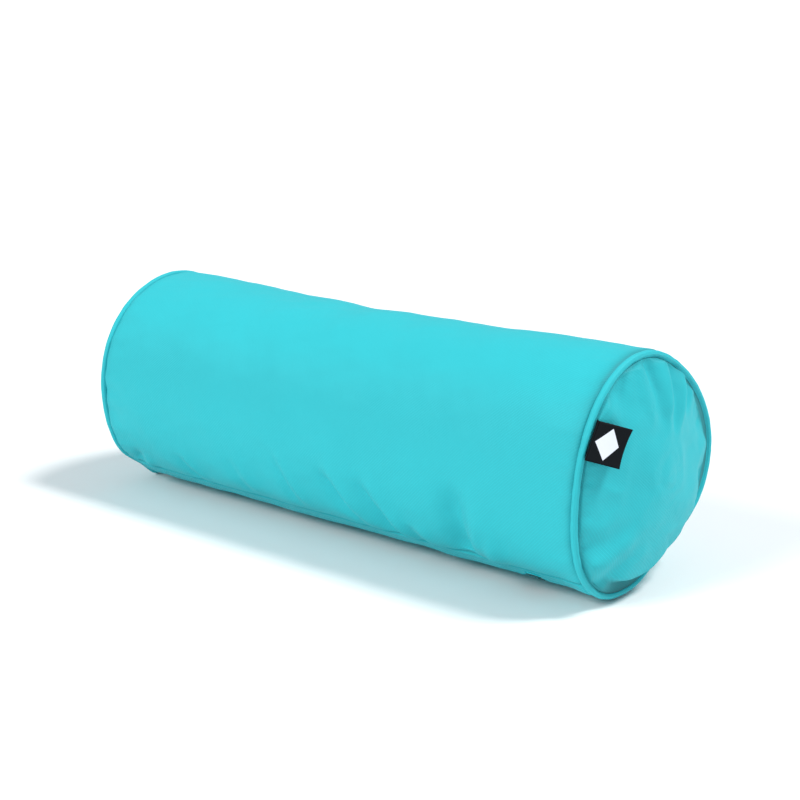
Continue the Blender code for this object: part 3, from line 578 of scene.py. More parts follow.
# puckers that fan in from the seam: turn and half width in degrees, reach inwards as a share of the radius
rightPuckers = [
    {"turn": 104, "width": 5.5, "reach": 0.60, "depth": 2.6 * mm, "bend": 4},
    {"turn": 95, "width": 4.6, "reach": 0.55, "depth": -3.8 * mm},
    {"turn": 85, "width": 5.4, "reach": 0.72, "depth": 4.0 * mm, "bend": -5},
    {"turn": 75, "width": 4.6, "reach": 0.62, "depth": -4.8 * mm, "bend": -8},
    {"turn": 64, "width": 5.4, "reach": 0.66, "depth": 3.8 * mm, "bend": -10},
    {"turn": 54, "width": 5.0, "reach": 0.36, "depth": -3.6 * mm, "bend": -8},
    {"turn": 44, "width": 5.5, "reach": 0.34, "depth": 2.0 * mm, "bend": -6},
    {"turn": 119, "width": 8.0, "reach": 0.36, "depth": -4.8 * mm, "bend": 6},
    {"turn": 133, "width": 7.0, "reach": 0.30, "depth": 2.0 * mm},
    {"turn": 24, "width": 7.0, "reach": 0.24, "depth": -2.6 * mm},
    {"turn": 5, "width": 6.0, "reach": 0.24, "depth": 1.6 * mm},
    {"turn": 348, "width": 5.5, "reach": 0.26, "depth": -4.0 * mm},
    {"turn": 204, "width": 7.0, "reach": 0.60, "depth": -2.8 * mm, "bend": 14},
    {"turn": 216, "width": 6.0, "reach": 0.64, "depth": 2.4 * mm, "bend": 14},
    {"turn": 228, "width": 6.0, "reach": 0.50, "depth": -3.4 * mm, "bend": 12},
]
leftPuckers = [
    {"turn": 70, "width": 4.5, "reach": 0.40, "depth": 2.4 * mm},
    {"turn": 80, "width": 4.0, "reach": 0.46, "depth": -3.4 * mm},
    {"turn": 91, "width": 4.5, "reach": 0.48, "depth": 3.0 * mm, "bend": 8},
    {"turn": 103, "width": 4.5, "reach": 0.40, "depth": -3.4 * mm, "bend": 8},
    {"turn": 118, "width": 5.0, "reach": 0.30, "depth": 2.2 * mm},
    {"turn": 152, "width": 5.5, "reach": 0.26, "depth": -3.2 * mm},
    {"turn": 176, "width": 5.5, "reach": 0.22, "depth": -2.8 * mm},
    {"turn": 205, "width": 5.0, "reach": 0.28, "depth": -3.0 * mm},
    {"turn": 236, "width": 7.0, "reach": 0.26, "depth": -5.0 * mm},
    {"turn": 318, "width": 5.0, "reach": 0.40, "depth": -3.0 * mm, "bend": -10},
    {"turn": 330, "width": 5.0, "reach": 0.45, "depth": 2.4 * mm, "bend": -10},
    {"turn": 12, "width": 5.0, "reach": 0.26, "depth": -3.2 * mm},
    {"turn": 40, "width": 5.0, "reach": 0.24, "depth": -2.6 * mm},
]


# turn and half width in degrees, and the share of the radius where it starts
recess = {"right": (262, 27, 0.835), "left": (284, 20, 0.86), "step": 0.055}


def recessMask(side, share, turn):
    # where the panel is tucked in behind the ring under its own bulge
    centre, half, start = recess["right" if side > 0 else "left"]
    span = bell((turnGap(turn, centre) / half) ** 2)
    return span * smooth((share - start) / recess["step"])


def sunkShare(side, turn):
    return bell(turnGap(turn, sunkPlace[side]) / 50)


def panelPoints(side, puckers, seed, share, turn, drop=0.0):
    # share runs from 1 at the seam to 0 in the middle, and drop is the distance below the outer face
    a = np.radians(turn)
    sunk = sunkShare(side, turn)
    inset = panel["tightInset"] * (1 - sunk) + panel["slackInset"] * sunk
    seam = outline(side * bolster["ringX"], turn, inset + drop)
    centreY = seam[..., 1].mean()
    centreZ = 0.5 * (seam[..., 2].max() + seam[..., 2].min())
    low = smooth((0.35 - np.sin(a)) / 1.35)
    crown = panel["crownTop"] * (1 - low) + panel["crownBottom"] * low
    inner = smooth(share * 1.9)
    crown = crown * inner + panel["crownMiddle"] * (1 - inner)
    power = 2.0 + 0.75 * low * inner
    rise = crown * (1 - share**power) ** (0.66 + 0.30 * sunk - 0.12 * low * (1 - sunk))
    wave = np.zeros_like(rise)
    for pucker in puckers:
        edge = 1 - pucker["reach"]
        fade = np.clip((share - edge) / (1 - edge), 0, 1) ** 0.9 * smooth((1 - share) * 30)
        spread = pucker["width"] * (0.7 + 0.9 * (1 - share) / pucker["reach"])
        bend = pucker.get("bend", 0) * (1 - share) / pucker["reach"]
        ridge = bell(turnGap(turn, pucker["turn"] + bend) / spread)
        wave = wave + panel["puckerStrength"] * pucker["depth"] * ridge * fade
    y = seam[..., 1] * share
    z = (seam[..., 2] - centreZ) * share
    wave = wave + 0.8 * mm * unevenness(y, z, 0.07, seed) * smooth((1 - share) * 6)
    wave = wave + 0.25 * mm * unevenness(y, z, 0.026, seed + 1) * smooth((1 - share) * 8)
    fine = unevenness(0 * y, a * bolster["radius"], 0.013, seed + 2) * bell((share - 0.94) / 0.05)
    height = (rise + wave + 0.35 * mm * fine) * (1 - 0.97 * recessMask(side, share, turn))
    # never below the ring's plane
    height = 0.5 * (height + np.sqrt(height**2 + (1.4 * mm) ** 2)) * smooth((1 - share) * 60)
    leanOut = low * (bell(turnGap(turn, leanPlace[side]) / 28) + 0.25)
    bulge = panel["overhang"] * leanOut * np.sin(math.pi * np.clip((1 - share) / 0.24, 0, 1))
    lip = bolster["pipingRadius"] * (0.55 - 0.2 * sunk)
    middleX = seam[..., 0].mean()
    plane = middleX + (seam[..., 0] - middleX) * smooth(share * 1.2)
    x = plane + side * (lip + height - drop)
    spreadOut = 1 + bulge / bolster["radius"]
    y = centreY + (seam[..., 1] - centreY) * share * spreadOut
    z = centreZ + (seam[..., 2] - centreZ) * share * spreadOut
    z = np.maximum(z, 0.8 * mm + drop)
    return np.stack([x, y, z], -1)


inflation = {
    "frames": 16,
    "pressure": 6.0,
    "grow": 0.02,
    "stiffness": 18,
    "bending": 1.2,
    "cap": 4 * mm,
    "inward": 0.4 * mm,
    "keep": 0.45,  # share of the move that is kept
}


def inflate(mesh, side, sewn, keepShare):
    # the cloth is let swell between its sewn edges, and no point moves further than the cap
    item = bpy.data.objects.new(mesh.name + "Swelling", mesh.copy())
    bpy.context.scene.collection.objects.link(item)
    group = item.vertex_groups.new(name="sewn")
    for index in np.nonzero(sewn > 0)[0].tolist():
        group.add([index], float(sewn[index]), "REPLACE")
    swelling = item.modifiers.new("Swelling", "CLOTH")
    cloth = swelling.settings
    cloth.vertex_group_mass = "sewn"
    cloth.quality = 5
    cloth.use_pressure = True
    cloth.uniform_pressure_force = inflation["pressure"]
    cloth.shrink_min = -inflation["grow"]
    cloth.tension_stiffness = inflation["stiffness"]
    cloth.compression_stiffness = inflation["stiffness"]
    cloth.bending_stiffness = inflation["bending"]
    cloth.effector_weights.gravity = 0
    swelling.collision_settings.use_self_collision = False
    swelling.point_cache.frame_start = 1
    swelling.point_cache.frame_end = inflation["frames"]
    scene = bpy.context.scene
    for frameNumber in range(1, inflation["frames"] + 1):
        scene.frame_set(frameNumber)
    shown = item.evaluated_get(bpy.context.evaluated_depsgraph_get())
    moved = meshPoints(shown.data) - meshPoints(mesh)
    scene.frame_set(1)
    length = np.linalg.norm(moved, axis=1, keepdims=True)
    moved *= keepShare[:, None] * np.minimum(1, inflation["cap"] / np.maximum(length, 1e-9))
    moved[:, 0] = side * np.maximum(side * moved[:, 0], -inflation["inward"])
    mesh.vertices.foreach_set("co", (meshPoints(mesh) + moved).ravel())
    mesh.update()
    bpy.data.objects.remove(item)
    print("swelling", mesh.name, "largest move", round(float(length.max()) * 1000, 1), "mm")


def makePanel(name, side, puckers, seed, node):
    rows = panel["rows"]
    share = 1 - np.linspace(0, 1, rows) ** 1.3 * 0.985
    turn = np.linspace(0, 360, panel["columns"], endpoint=False)
    gridShare, gridTurn = np.meshgrid(share, turn, indexing="ij")
    points = panelPoints(side, puckers, seed, gridShare, gridTurn)
    startInset, startOut = panel["seamStart"]
    start = outline(side * bolster["ringX"], turn, startInset) + [side * startOut, 0, 0]
    points = np.concatenate([start[None], points])
    flat = np.concatenate([[1.06], share])
    angles = np.radians(np.append(turn, 360))
    uv = np.stack([np.outer(flat, np.cos(angles)), np.outer(flat, np.sin(angles))], -1)
    uv = uv * bolster["radius"]
    mesh = gridMesh(name, points, uv, wrapColumns=True, flip=side > 0, capCentre=True)
    hollow = recessMask(side, flat[:, None], turn[None, :])
    sunk = sunkShare(side, turn)
    # painted shade: darker at the seam, more where the panel sinks behind the piping, and most in the
    # recess under the bulge
    seamNear = np.exp(-(1 - flat).clip(0) / 0.03)[:, None] * (1 + 0.6 * sunk) + 1.5 * hollow
    addPaintedShadeNearSeams(mesh, np.append(seamNear.ravel(), 0.0))
    sewn = np.append(np.repeat((flat > 0.985).astype(float), panel["columns"]), 0.0)
    inflate(mesh, side, sewn, np.append(inflation["keep"] * (1 - hollow).ravel(), inflation["keep"]))
    piece = newObject(name, mesh, canvas)
    thicken(piece, panel["thickness"])
    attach(piece, "cushion")
    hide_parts(node)
    print("end panel", name, len(mesh.polygons))
    return piece


piping = {"columns": 420, "sides": 18, "finDepth": 6 * mm, "finHalf": 0.7 * mm, "cordRadius": 2.4 * mm}


def ringTurns(count):
    return np.linspace(0, 360, count, endpoint=False)


def makeRingTube(name, side, radius, finDepth, seed):
    turn = ringTurns(piping["columns"])
    depth = bolster["pipingRadius"]
    centre = outline(side * bolster["ringX"], turn, depth)
    inward = outline(side * bolster["ringX"], turn, depth + 10 * mm) - centre
    inward[:, 0] = 0
    inward /= np.linalg.norm(inward, axis=1)[:, None]
    along = np.array([1.0, 0, 0])
    length = np.radians(np.append(turn, 360)) * bolster["radius"]
    lumps = 1 + 0.025 * unevenness(0 * turn, length[:-1], 0.012, seed)
    around = tau * (np.arange(piping["sides"]) + 0.5) / piping["sides"]
    directions = [math.cos(a) * along - math.sin(a) * inward for a in around]
    rows = [centre + radius * lumps[:, None] * direction for direction in directions]
    points = np.stack(rows, 1)
    if finDepth:
        # the two rows nearest the seam are drawn down into it as a fin
        for k in np.argsort(np.sin(around))[:2]:
            half = math.copysign(piping["finHalf"], math.cos(around[k]))
            points[:, k] = centre + inward * (radius + finDepth) + along * half
    across = np.append(around, around[0] + tau) * radius
    bias = math.sqrt(0.5)  # the strip is cut on the bias
    u = (length[:, None] + across[None, :]) * bias
    v = (across[None, :] - length[:, None]) * bias
    return gridMesh(name, points, np.stack([u, v], -1), wrapRows=True, wrapColumns=True, flip=True)


def makePiping(name, side, seed, node, cordNode):
    mesh = makeRingTube(name, side, bolster["pipingRadius"], piping["finDepth"], seed)
    piece = newObject(name, mesh, canvas)
    cordMesh = makeRingTube(name + "Cord", side, piping["cordRadius"], 0, seed)
    cord = newObject(name + "Cord", cordMesh, cordCotton)
    for item, stood in ((piece, node), (cord, cordNode)):
        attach(item, "cushion")
        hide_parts(stood)
    print("piping", name, len(mesh.polygons))


placket = {
    "tuckAngle": 223.6,
    "edgeAngle": 238.6,
    "columns": 34,
    "rows": 240,
    "lift": 0.35 * mm,
    "tuck": 2.3 * mm,
    "thickness": 1.2 * mm,
    "freeFrom": 229,  # past its stitches the strip hangs free
    "peekX": 0.236,  # where the slider pushes the free edge up
    "peekHalf": 0.015,
    "peekTurn": 9.0,
}


def placketInset(x, turn):
    free = (turn - placket["freeFrom"]) / (placket["edgeAngle"] - placket["freeFrom"])
    under = placket["tuck"] * (1 - smooth((turn - barrel["seamAngle"]) / 1.5))
    fade = smooth((bolster["ringX"] - np.abs(x)) / 0.05)
    wave = 0.32 * mm * unevenness(x, 0 * x, 0.055, 21) * smooth(free) * fade
    peek = bell((x - placket["peekX"]) / placket["peekHalf"])
    lift = 2.2 * mm * peek * smooth(free) + 0.35 * mm * np.sin(math.pi * free.clip(0, 1))
    return placket["lift"] + under + shoulderDip(x) + wave - lift


def makePlacket():
    endX = bolster["ringX"] - bolster["pipingRadius"] * 0.9
    x = np.linspace(-endX, endX, placket["rows"])
    turn = np.linspace(placket["tuckAngle"], placket["edgeAngle"], placket["columns"])
    gridX, gridTurn = np.meshgrid(x, turn, indexing="ij")
    free = (gridTurn - placket["freeFrom"]) / (placket["edgeAngle"] - placket["freeFrom"])
    peek = bell((gridX - placket["peekX"]) / placket["peekHalf"]) * smooth(free)
    gridTurn = gridTurn - placket["peekTurn"] * peek
    points = outline(gridX, gridTurn, placketInset(gridX, gridTurn))
    uv = np.stack([gridX, np.radians(gridTurn) * bolster["radius"]], -1)
    mesh = gridMesh("zipPlacket", points, uv, flip=True)
    # painted shade along the seam line at the top of the placket
    addPaintedShadeNearSeams(mesh, bell((gridTurn - barrel["seamAngle"]) / 0.9))
    piece = newObject("zipPlacket", mesh, canvas)
    thicken(piece, placket["thickness"])
    edge = piece.modifiers.new("foldedEdge", "BEVEL")
    edge.width = 0.35 * mm
    edge.segments = 2
    edge.angle_limit = math.radians(50)
    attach(piece, "cushion")
    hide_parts("zip_placket")
    print("placket", len(mesh.polygons))


innerPad = {
    "rows": 120,
    "columns": 180,
    "cornerLength": 32 * mm,
    "cornerDepth": 15 * mm,
    "flatLevel": 102.8 * mm,  # behind the zip, from the axis
    "endShare": 0.80,
    "endRows": 18,
    "clearance": 3.0 * mm,
    "sideInset": 4.2 * mm,  # below the barrel
}


def belowPanel(points, cover, side, extra):
    # the pad's ends are kept clear of the finished covers, lumps and all
    tree = BVHTree.FromObject(cover, bpy.context.evaluated_depsgraph_get())
    for place in np.ndindex(points.shape[:2]):
        x, y, z = points[place]
        hit = tree.ray_cast(Vector((side * 0.6, y, z)), Vector((-side, 0, 0)))[0]
        if hit is not None:
            limit = side * hit.x - innerPad["clearance"] - extra
            points[place][0] = side * min(side * x, limit)
    return points


def makePad(name, extra, thickness, material, nodes):
    ringX, radius = bolster["ringX"], bolster["radius"]
    corner, depth = innerPad["cornerLength"], innerPad["cornerDepth"]
    turn = ringTurns(innerPad["columns"])
    straight = np.linspace(-(ringX - corner), ringX - corner, innerPad["rows"])
    sweepIn = np.linspace(0, math.pi / 2, 10)[1:]
    x = np.concatenate([straight, straight[-1] + (corner - 1 * mm) * np.sin(sweepIn)])
    x = np.concatenate([-x[: -innerPad["rows"] - 1 : -1], x])
    dip = np.concatenate([0 * straight, depth * (1 - np.cos(sweepIn))])
    dip = np.concatenate([dip[: -innerPad["rows"] - 1 : -1], dip])
    order = np.argsort(x)
    x, dip = x[order], dip[order]
    x, first = np.unique(x, return_index=True)
    dip = dip[first]
    gridX, gridTurn = np.meshgrid(x, turn, indexing="ij")
    offZip = np.radians(np.clip(turnGap(gridTurn, bolster["zipAngle"]), -25, 25))
    flat = radius - (innerPad["flatLevel"] - extra) / np.cos(offZip)
    inset = np.maximum(innerPad["sideInset"] + extra + dip[:, None], flat)
    swell = bolster["swell"] * smooth((ringX - np.abs(gridX)) / 0.07)
    points = outline(gridX, gridTurn, inset - barrelBump(gridX, gridTurn), swell)
    share = np.linspace(innerPad["endShare"], 0.06, innerPad["endRows"])
    endShare, endTurn = np.meshgrid(share, turn, indexing="ij")
    drop = 3.0 * mm + extra + 5 * mm * smooth((endShare - 0.60) / 0.2)
    right = panelPoints(1, rightPuckers, panel["seed"], endShare, endTurn, drop)
    right = belowPanel(right, endPanels[0], 1, extra)
    left = panelPoints(-1, leftPuckers, panel["seed"] + 10, endShare, endTurn, drop)
    left = belowPanel(left, endPanels[1], -1, extra)
    points = np.concatenate([left[::-1], points, right])
    rows = len(points)
    arc = np.radians(np.append(turn, 360)) * radius
    uv = np.stack(np.meshgrid(np.linspace(0, 0.8, rows), arc, indexing="ij"), -1)
    mesh = gridMesh(name, points, uv, wrapColumns=True, capCentre=True)
    closeStart(mesh, innerPad["columns"])
    piece = newObject(name, mesh, material)
    if thickness:
        thicken(piece, thickness)
    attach(piece, "cushion")
    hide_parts(*nodes)
    print("inner pad", name, len(mesh.polygons))


def closeStart(mesh, columns):
    bm = bmesh.new()
    bm.from_mesh(mesh)
    bm.verts.ensure_lookup_table()
    loop = [bm.verts[k] for k in range(columns)]
    centre = bm.verts.new(sum((v.co for v in loop), Vector()) / columns)
    for k in range(columns):
        bm.faces.new((loop[k], loop[(k + 1) % columns], centre))
    bmesh.ops.recalc_face_normals(bm, faces=bm.faces)
    bm.to_mesh(mesh)
    bm.free()


label = {
    "pivot": (307.85 * mm, -91.137 * mm, 163.949 * mm),
    "across": (0, -0.529919, -0.848048),
    "width": 36 * mm,
    "reach": 31 * mm,
    "rise": 38,  # degrees that it stands off the end panel
    "skew": 8,
    "tail": 9 * mm,
    "layer": 0.25 * mm,
    "turn": 148,
    "markMiddle": (0.42, 0.5),
    "markHalf": (0.36, 0.40),
    "markColour": (0.80, 0.84, 0.93, 1),
}


def bezier(a, b, c, d, s):
    s = s[:, None]
    return a * (1 - s) ** 3 + 3 * b * s * (1 - s) ** 2 + 3 * c * s * s * (1 - s) + d * s**3


def makeLabel():
    labelWeave = labelMaterial()
    pivot, across = np.array(label["pivot"]), np.array(label["across"])
    inward = np.cross(across, (1.0, 0, 0))
    inward *= math.copysign(1, inward[2] * (0.107 - pivot[2]))
    rise, skew = math.radians(label["rise"]), math.radians(label["skew"])
    heading = math.cos(rise) * inward + math.sin(rise) * np.array([1.0, 0, 0])
    heading = math.cos(skew) * heading - math.sin(skew) * across
    w = np.linspace(-0.5, 0.5, 25) * label["width"]
    # the tail comes up out of the seam, beside the piping
    turn = label["turn"] + np.degrees(w / bolster["radius"])
    seam = outline(bolster["ringX"], turn, 10.5 * mm) + [2.1 * mm, 0, 0]
    low = outline(bolster["ringX"], turn, 6.4 * mm) + [3.6 * mm, 0, 0]
    root = []
    flap = []
    reach = np.linspace(0, 1, 27)
    outward = np.array([1.0, 0, 0])
    pull = outward * 3.4 * mm
    bend = 1.8 * mm * (1 - np.exp(-reach * 5.0)) - 3.2 * mm * reach**2
    for k, offset in enumerate(w):
        hinge = pivot + across * offset
        control = hinge - pull * 0.5 - inward * 0.4 * mm
        root.append(bezier(seam[k], low[k], control, hinge, np.linspace(0, 1, 14)))
        curl = 1.6 * mm * (offset / label["width"] * 2) ** 2
        line = hinge + heading * (reach[:, None] * label["reach"])
        flap.append(line + outward * bend[:, None] + outward * (curl * reach)[:, None])
    root = np.stack(root, 1)
    flap = np.stack(flap, 1)
    acrossUv = np.linspace(0, 1, 25)
    rootUv = np.stack(np.meshgrid(np.linspace(-0.3, 0, 14), acrossUv, indexing="ij"), -1)
    flapUv = np.stack(np.meshgrid(reach, acrossUv, indexing="ij"), -1)
    for name, points, uv, body, node in (
        ("sideLabelTail", root, rootUv, "cushion", "side_label_root"),
        ("sideLabelFlap", flap, flapUv, "label_flap", "side_label_flap"),
    ):
        mesh = gridMesh(name, points, uv)
        facing = np.mean([polygon.normal.x for polygon in mesh.polygons])
        if facing < 0:
            mesh.flip_normals()
        piece = newObject(name, mesh, labelWeave)
        thicken(piece, 2.4 * label["layer"])
        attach(piece, body)
        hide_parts(node)
    print("side label", len(reach))


careLabel = {
    "start": 10,
    "width": 24 * mm,
    "length": 45 * mm,
    "endX": 286.65 * mm,
    "thickness": 0.25 * mm,
}


def makeCareLabel():
    x = np.linspace(careLabel["endX"] - careLabel["length"], careLabel["endX"], 14)
    turn = careLabel["start"] + np.linspace(0, math.degrees(careLabel["width"] / bolster["radius"]), 12)
    gridX, gridTurn = np.meshgrid(x, turn, indexing="ij")
    points = barrelGrid(gridX, gridTurn, barrel["thickness"] + 0.3 * mm)  # inside the cover
    uv = np.stack([gridX, np.radians(gridTurn) * bolster["radius"]], -1)
    mesh = gridMesh("careLabel", points, uv, flip=True)
    piece = newObject("careLabel", mesh, careSatin)
    thicken(piece, careLabel["thickness"])
    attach(piece, "cushion")
    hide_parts("care_label")
    print("care label")


def makeRunTree():
    # one small rounded bar on each point, turned along the run
    tree = bpy.data.node_groups.new("runOfBars", "GeometryNodeTree")
    face = tree.interface
    face.new_socket(name="Geometry", in_out="INPUT", socket_type="NodeSocketGeometry")
    sizes = (("Length", 2.4 * mm), ("Width", 0.5 * mm), ("Height", 0.4 * mm), ("Scatter", 0.05))
    for caption, value in sizes:
        socket = face.new_socket(name=caption, in_out="INPUT", socket_type="NodeSocketFloat")
        socket.default_value = value
    face.new_socket(name="Seed", in_out="INPUT", socket_type="NodeSocketInt")
    face.new_socket(name="Material", in_out="INPUT", socket_type="NodeSocketMaterial")
    face.new_socket(name="Geometry", in_out="OUTPUT", socket_type="NodeSocketGeometry")
    entry = tree.nodes.new("NodeGroupInput")
    leave = tree.nodes.new("NodeGroupOutput")
    link = tree.links.new
    ball = tree.nodes.new("GeometryNodeMeshUVSphere")
    ball.inputs["Segments"].default_value = 7
    ball.inputs["Rings"].default_value = 5
    ball.inputs["Radius"].default_value = 0.5
    size = tree.nodes.new("ShaderNodeCombineXYZ")
    link(entry.outputs["Length"], size.inputs[0])
    link(entry.outputs["Width"], size.inputs[1])
    link(entry.outputs["Height"], size.inputs[2])
    shape = tree.nodes.new("GeometryNodeTransform")
    link(ball.outputs["Mesh"], shape.inputs["Geometry"])
    link(size.outputs[0], shape.inputs["Scale"])
    turns = []
    for axis, pivot, name in (("X", "AUTO", "along"), ("Z", "X", "out")):
        read = tree.nodes.new("GeometryNodeInputNamedAttribute")
        read.data_type = "FLOAT_VECTOR"
        read.inputs["Name"].default_value = name
        turnNode = tree.nodes.new("FunctionNodeAlignRotationToVector")
        turnNode.axis = axis
        turnNode.pivot_axis = pivot
        link(read.outputs["Attribute"], turnNode.inputs["Vector"])
        if turns:
            link(turns[-1].outputs["Rotation"], turnNode.inputs["Rotation"])
        turns.append(turnNode)
    chance = tree.nodes.new("FunctionNodeRandomValue")
    chance.data_type = "FLOAT_VECTOR"
    low = tree.nodes.new("ShaderNodeMath")
    low.operation = "SUBTRACT"
    low.inputs[0].default_value = 1
    link(entry.outputs["Scatter"], low.inputs[1])
    high = tree.nodes.new("ShaderNodeMath")
    high.inputs[0].default_value = 1
    link(entry.outputs["Scatter"], high.inputs[1])
    link(low.outputs[0], chance.inputs["Min"])
    link(high.outputs[0], chance.inputs["Max"])
    link(entry.outputs["Seed"], chance.inputs["Seed"])
    place = tree.nodes.new("GeometryNodeInstanceOnPoints")
    link(entry.outputs["Geometry"], place.inputs["Points"])
    link(shape.outputs["Geometry"], place.inputs["Instance"])
    link(turns[-1].outputs["Rotation"], place.inputs["Rotation"])
    link(chance.outputs["Value"], place.inputs["Scale"])
    real = tree.nodes.new("GeometryNodeRealizeInstances")
    link(place.outputs["Instances"], real.inputs["Geometry"])
    smoothNode = tree.nodes.new("GeometryNodeSetShadeSmooth")
    link(real.outputs["Geometry"], smoothNode.inputs["Geometry"])
    finish = tree.nodes.new("GeometryNodeSetMaterial")
    link(smoothNode.outputs["Geometry"], finish.inputs["Geometry"])
    link(entry.outputs["Material"], finish.inputs["Material"])
    link(finish.outputs["Geometry"], leave.inputs["Geometry"])
    return tree


runTree = makeRunTree()


def makeRun(name, points, along, out, settings, material, node):
    start = bpy.data.meshes.new(name + "Places")
    start.from_pydata(np.asarray(points).tolist(), [], [])
    for caption, vectors in (("along", along), ("out", out)):
        layer = start.attributes.new(caption, "FLOAT_VECTOR", "POINT")
        spread = np.broadcast_to(vectors, np.shape(points)).astype(np.float32)
        layer.data.foreach_set("vector", spread.ravel())
    item = bpy.data.objects.new(name + "Places", start)
    bpy.context.scene.collection.objects.link(item)
    modifier = item.modifiers.new("run", "NODES")
    modifier.node_group = runTree
    sockets = {s.name: s.identifier for s in runTree.interface.items_tree if s.in_out == "INPUT"}
    for key, value in dict(settings, Material=material).items():
        modifier[sockets[key]] = value
    graph = bpy.context.evaluated_depsgraph_get()
    mesh = bpy.data.meshes.new_from_object(item.evaluated_get(graph))
    bpy.data.objects.remove(item)
    mesh.name = name
    piece = bpy.data.objects.new(name, mesh)
    bpy.context.scene.collection.objects.link(piece)
    if not mesh.materials:
        mesh.materials.append(material)
    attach(piece, "cushion")
    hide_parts(node)
    print("run", name, len(points), "bars,", len(mesh.polygons), "faces")


stitch = {"pitch": 3.1 * mm, "Length": 2.5 * mm, "Width": 0.5 * mm, "Height": 0.42 * mm, "Scatter": 0.08}
coil = {"pitch": 1.25 * mm, "Length": 3.6 * mm, "Width": 0.72 * mm, "Height": 1.5 * mm, "Scatter": 0.0}
coil.update({"halfRun": 0.244, "apart": 1.25 * mm, "level": 1.2 * mm})
# the zip's flat: up across the tape, out from the bolster, and the middle of the tapes
zipUp = np.array([0, -0.866025, 0.5])
zipOut = np.array([0, -0.5, -0.866025])
zipMiddle = np.array([0, -52.5 * mm, 16.067 * mm])


def barSettings(look, seed):
    return {key: look[key] for key in ("Length", "Width", "Height", "Scatter")} | {"Seed": seed}


def unit(vectors):
    return vectors / np.linalg.norm(vectors, axis=-1, keepdims=True)


def makeStitches():
    count = round(tau * 0.1 / stitch["pitch"])
    for name, side, node in (
        ("seamStitchesRight", 1, "seam_thread_right"),
        ("seamStitchesLeft", -1, "seam_thread_left"),
    ):
        turn = ringTurns(count)
        ringX = side * bolster["ringX"]
        before, points, after = (outline(ringX, turn + step, 11 * mm) for step in (-1, 0, 1))
        points[:, 0] += side * 0.8 * mm
        ahead = unit(after - before)
        makeRun(name, points, ahead, (side, 0, 0), barSettings(stitch, 3), sewingThread, node)
    for name, turn, end, surface, node in (
        ("placketSeamStitches", 224.7, 0.28665, barrelInset, "placket_seam_thread"),
        ("zipStitchesUpper", 233.0, 0.28665, placketInset, "zip_thread_upper"),
        ("zipStitchesLower", 245.6 - 360, 0.265, barrelInset, "zip_thread_lower"),
    ):
        x = np.arange(-end, end, stitch["pitch"])
        turn = np.full_like(x, turn)
        swell = 0 if surface is placketInset else bolster["swell"]
        lift = 0 if surface is placketInset else barrelBump(x, turn)
        swell = swell * smooth((bolster["ringX"] - np.abs(x)) / 0.07)
        points = outline(x, turn, surface(x, turn) - lift - 0.08 * mm, swell)
        a = np.radians(turn[0])
        out = (0, math.cos(a), math.sin(a))
        makeRun(name, points, (1, 0, 0), out, barSettings(stitch, 4), sewingThread, node)


def makeCoil():
    for name, side, node in (("zipCoilUpper", 1, "zip_coil_upper"), ("zipCoilLower", -1, "zip_coil_lower")):
        shift = 0 if side > 0 else coil["pitch"] / 2
        x = np.arange(-coil["halfRun"], coil["halfRun"], coil["pitch"]) + shift
        base = zipMiddle + zipUp * side * coil["apart"] + zipOut * coil["level"]
        points = np.stack([x, np.full_like(x, base[1]), np.full_like(x, base[2])], -1)
        makeRun(name, points, zipUp, zipOut, barSettings(coil, 5), zipNylon, node)


studio = {
    "azimuth": 40.37,
    "elevation": 15.71,
    "distance": 1.785,
    "targetHeight": 0.0994,
    "lens": 80.8,
    "shift": (0.0203, 0.0351),
    "world": 0.44,
    "backdrop": 1.3,
    "floorSeen": 0.98,
    "floorBounce": 0.85,
    "floorHalf": 60,
    "worldColour": (0.80, 0.92, 1.0, 1),
    # towards the lamp, its softness in degrees, strength and colour
    "keyLight": ((-0.28, -1.0, 0.70), 22, 1.66, (1.0, 0.97, 0.95)),
    "endLight": ((0.52, 0.34, 1.0), 14, 2.25, (1.0, 0.98, 0.97)),
}


def makeStage():
    mesh = bpy.data.meshes.new("floor")
    half = studio["floorHalf"]
    corners = [(-half, -half, 0), (half, -half, 0), (half, half, 0), (-half, half, 0)]
    mesh.from_pydata(corners, [], [(0, 1, 2, 3)])
    floor = bpy.data.objects.new("floor", mesh)
    bpy.context.scene.collection.objects.link(floor)
    material = bpy.data.materials.new("paleFloor")
    material.use_nodes = True
    shader = material.node_tree.nodes["Principled BSDF"]
    # paler to the eye than in what it throws back, as a lit sweep is
    add, maths = nodeTools(material.node_tree)
    seen = add("ShaderNodeLightPath").outputs["Is Camera Ray"]
    gain = studio["floorSeen"] - studio["floorBounce"]
    tone = maths("MULTIPLY_ADD", seen, gain, studio["floorBounce"])
    material.node_tree.links.new(tone, shader.inputs["Base Color"])
    shader.inputs["Roughness"].default_value = 0.9
    shader.inputs["Specular IOR Level"].default_value = 0.1
    mesh.materials.append(material)
    world = bpy.data.worlds.new("studio")
    world.use_nodes = True
    back = world.node_tree.nodes["Background"]
    back.inputs["Color"].default_value = studio["worldColour"]
    add, maths = nodeTools(world.node_tree)
    seen = add("ShaderNodeLightPath").outputs["Is Camera Ray"]
    strength = maths("MULTIPLY_ADD", seen, studio["backdrop"] - studio["world"], studio["world"])
    world.node_tree.links.new(strength, back.inputs["Strength"])
    bpy.context.scene.world = world
    print("stage")


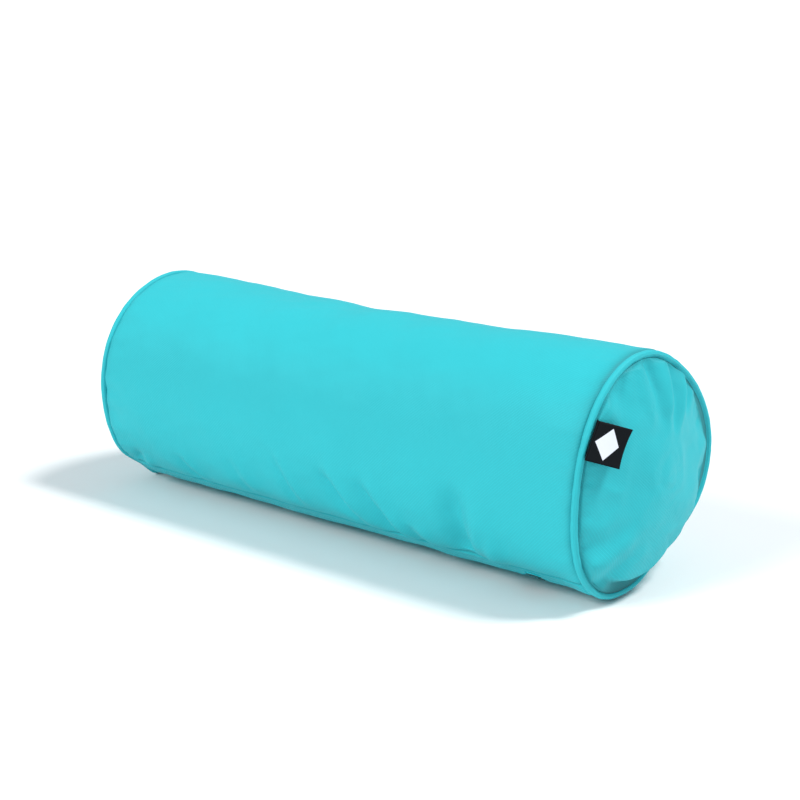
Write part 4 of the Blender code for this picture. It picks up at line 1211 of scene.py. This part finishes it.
def addSun(name):
    direction, softness, strength, colour = studio[name]
    lamp = bpy.data.lights.new(name, "SUN")
    lamp.angle = math.radians(softness)
    lamp.energy = strength
    lamp.color = colour
    item = bpy.data.objects.new(name, lamp)
    bpy.context.scene.collection.objects.link(item)
    item.rotation_euler = (-Vector(direction)).to_track_quat("-Z", "Y").to_euler()
    print("lamp", name)


def makeCamera():
    lens = bpy.data.cameras.new("camera")
    lens.lens = studio["lens"]
    lens.sensor_width = 36
    lens.shift_x, lens.shift_y = studio["shift"]
    lens.clip_start, lens.clip_end = 0.05, 60
    camera = bpy.data.objects.new("camera", lens)
    bpy.context.scene.collection.objects.link(camera)
    a, e = math.radians(studio["azimuth"]), math.radians(studio["elevation"])
    back = Vector((math.sin(a) * math.cos(e), -math.cos(a) * math.cos(e), math.sin(e)))
    camera.location = Vector((0, 0, studio["targetHeight"])) + back * studio["distance"]
    camera.rotation_euler = (-back).to_track_quat("-Z", "Y").to_euler()
    bpy.context.scene.camera = camera
    bpy.context.scene.view_settings.view_transform = "Standard"
    print("camera")


def dressKeptParts():
    # the straight zip parts keep their own shapes and take finished materials
    finishes = {
        "zip_tape_upper": zipTape,
        "zip_tape_lower": zipTape,
        "zip_slider": zipEnamel,
        "zip_pull_tab": zipEnamel,
        "zip_top_stop_upper": zipNylon,
        "zip_top_stop_lower": zipNylon,
        "zip_bottom_stop": zipNylon,
    }
    for node, material in finishes.items():
        for place in bpy.data.objects[node].material_slots:
            place.material = material
    print("zip parts", len(finishes))


makeBarrel()
endPanels = (
    makePanel("endPanelRight", 1, rightPuckers, panel["seed"], "end_panel_right"),
    makePanel("endPanelLeft", -1, leftPuckers, panel["seed"] + 10, "end_panel_left"),
)
makePiping("pipingRight", 1, 31, "piping_cover_right", "piping_cord_right")
makePiping("pipingLeft", -1, 32, "piping_cover_left", "piping_cord_left")
makePlacket()
linerNodes = ("liner_barrel", "liner_end_left", "liner_end_right")
makePad("padLiner", 0.0, 0.4 * mm, linerCloth, linerNodes)
makePad("padFilling", 0.8 * mm, 0, hollowFibre, ("fibre_filling",))
makeLabel()
makeCareLabel()
makeStitches()
makeCoil()
dressKeptParts()
makeStage()
addSun("keyLight")
addSun("endLight")
makeCamera()
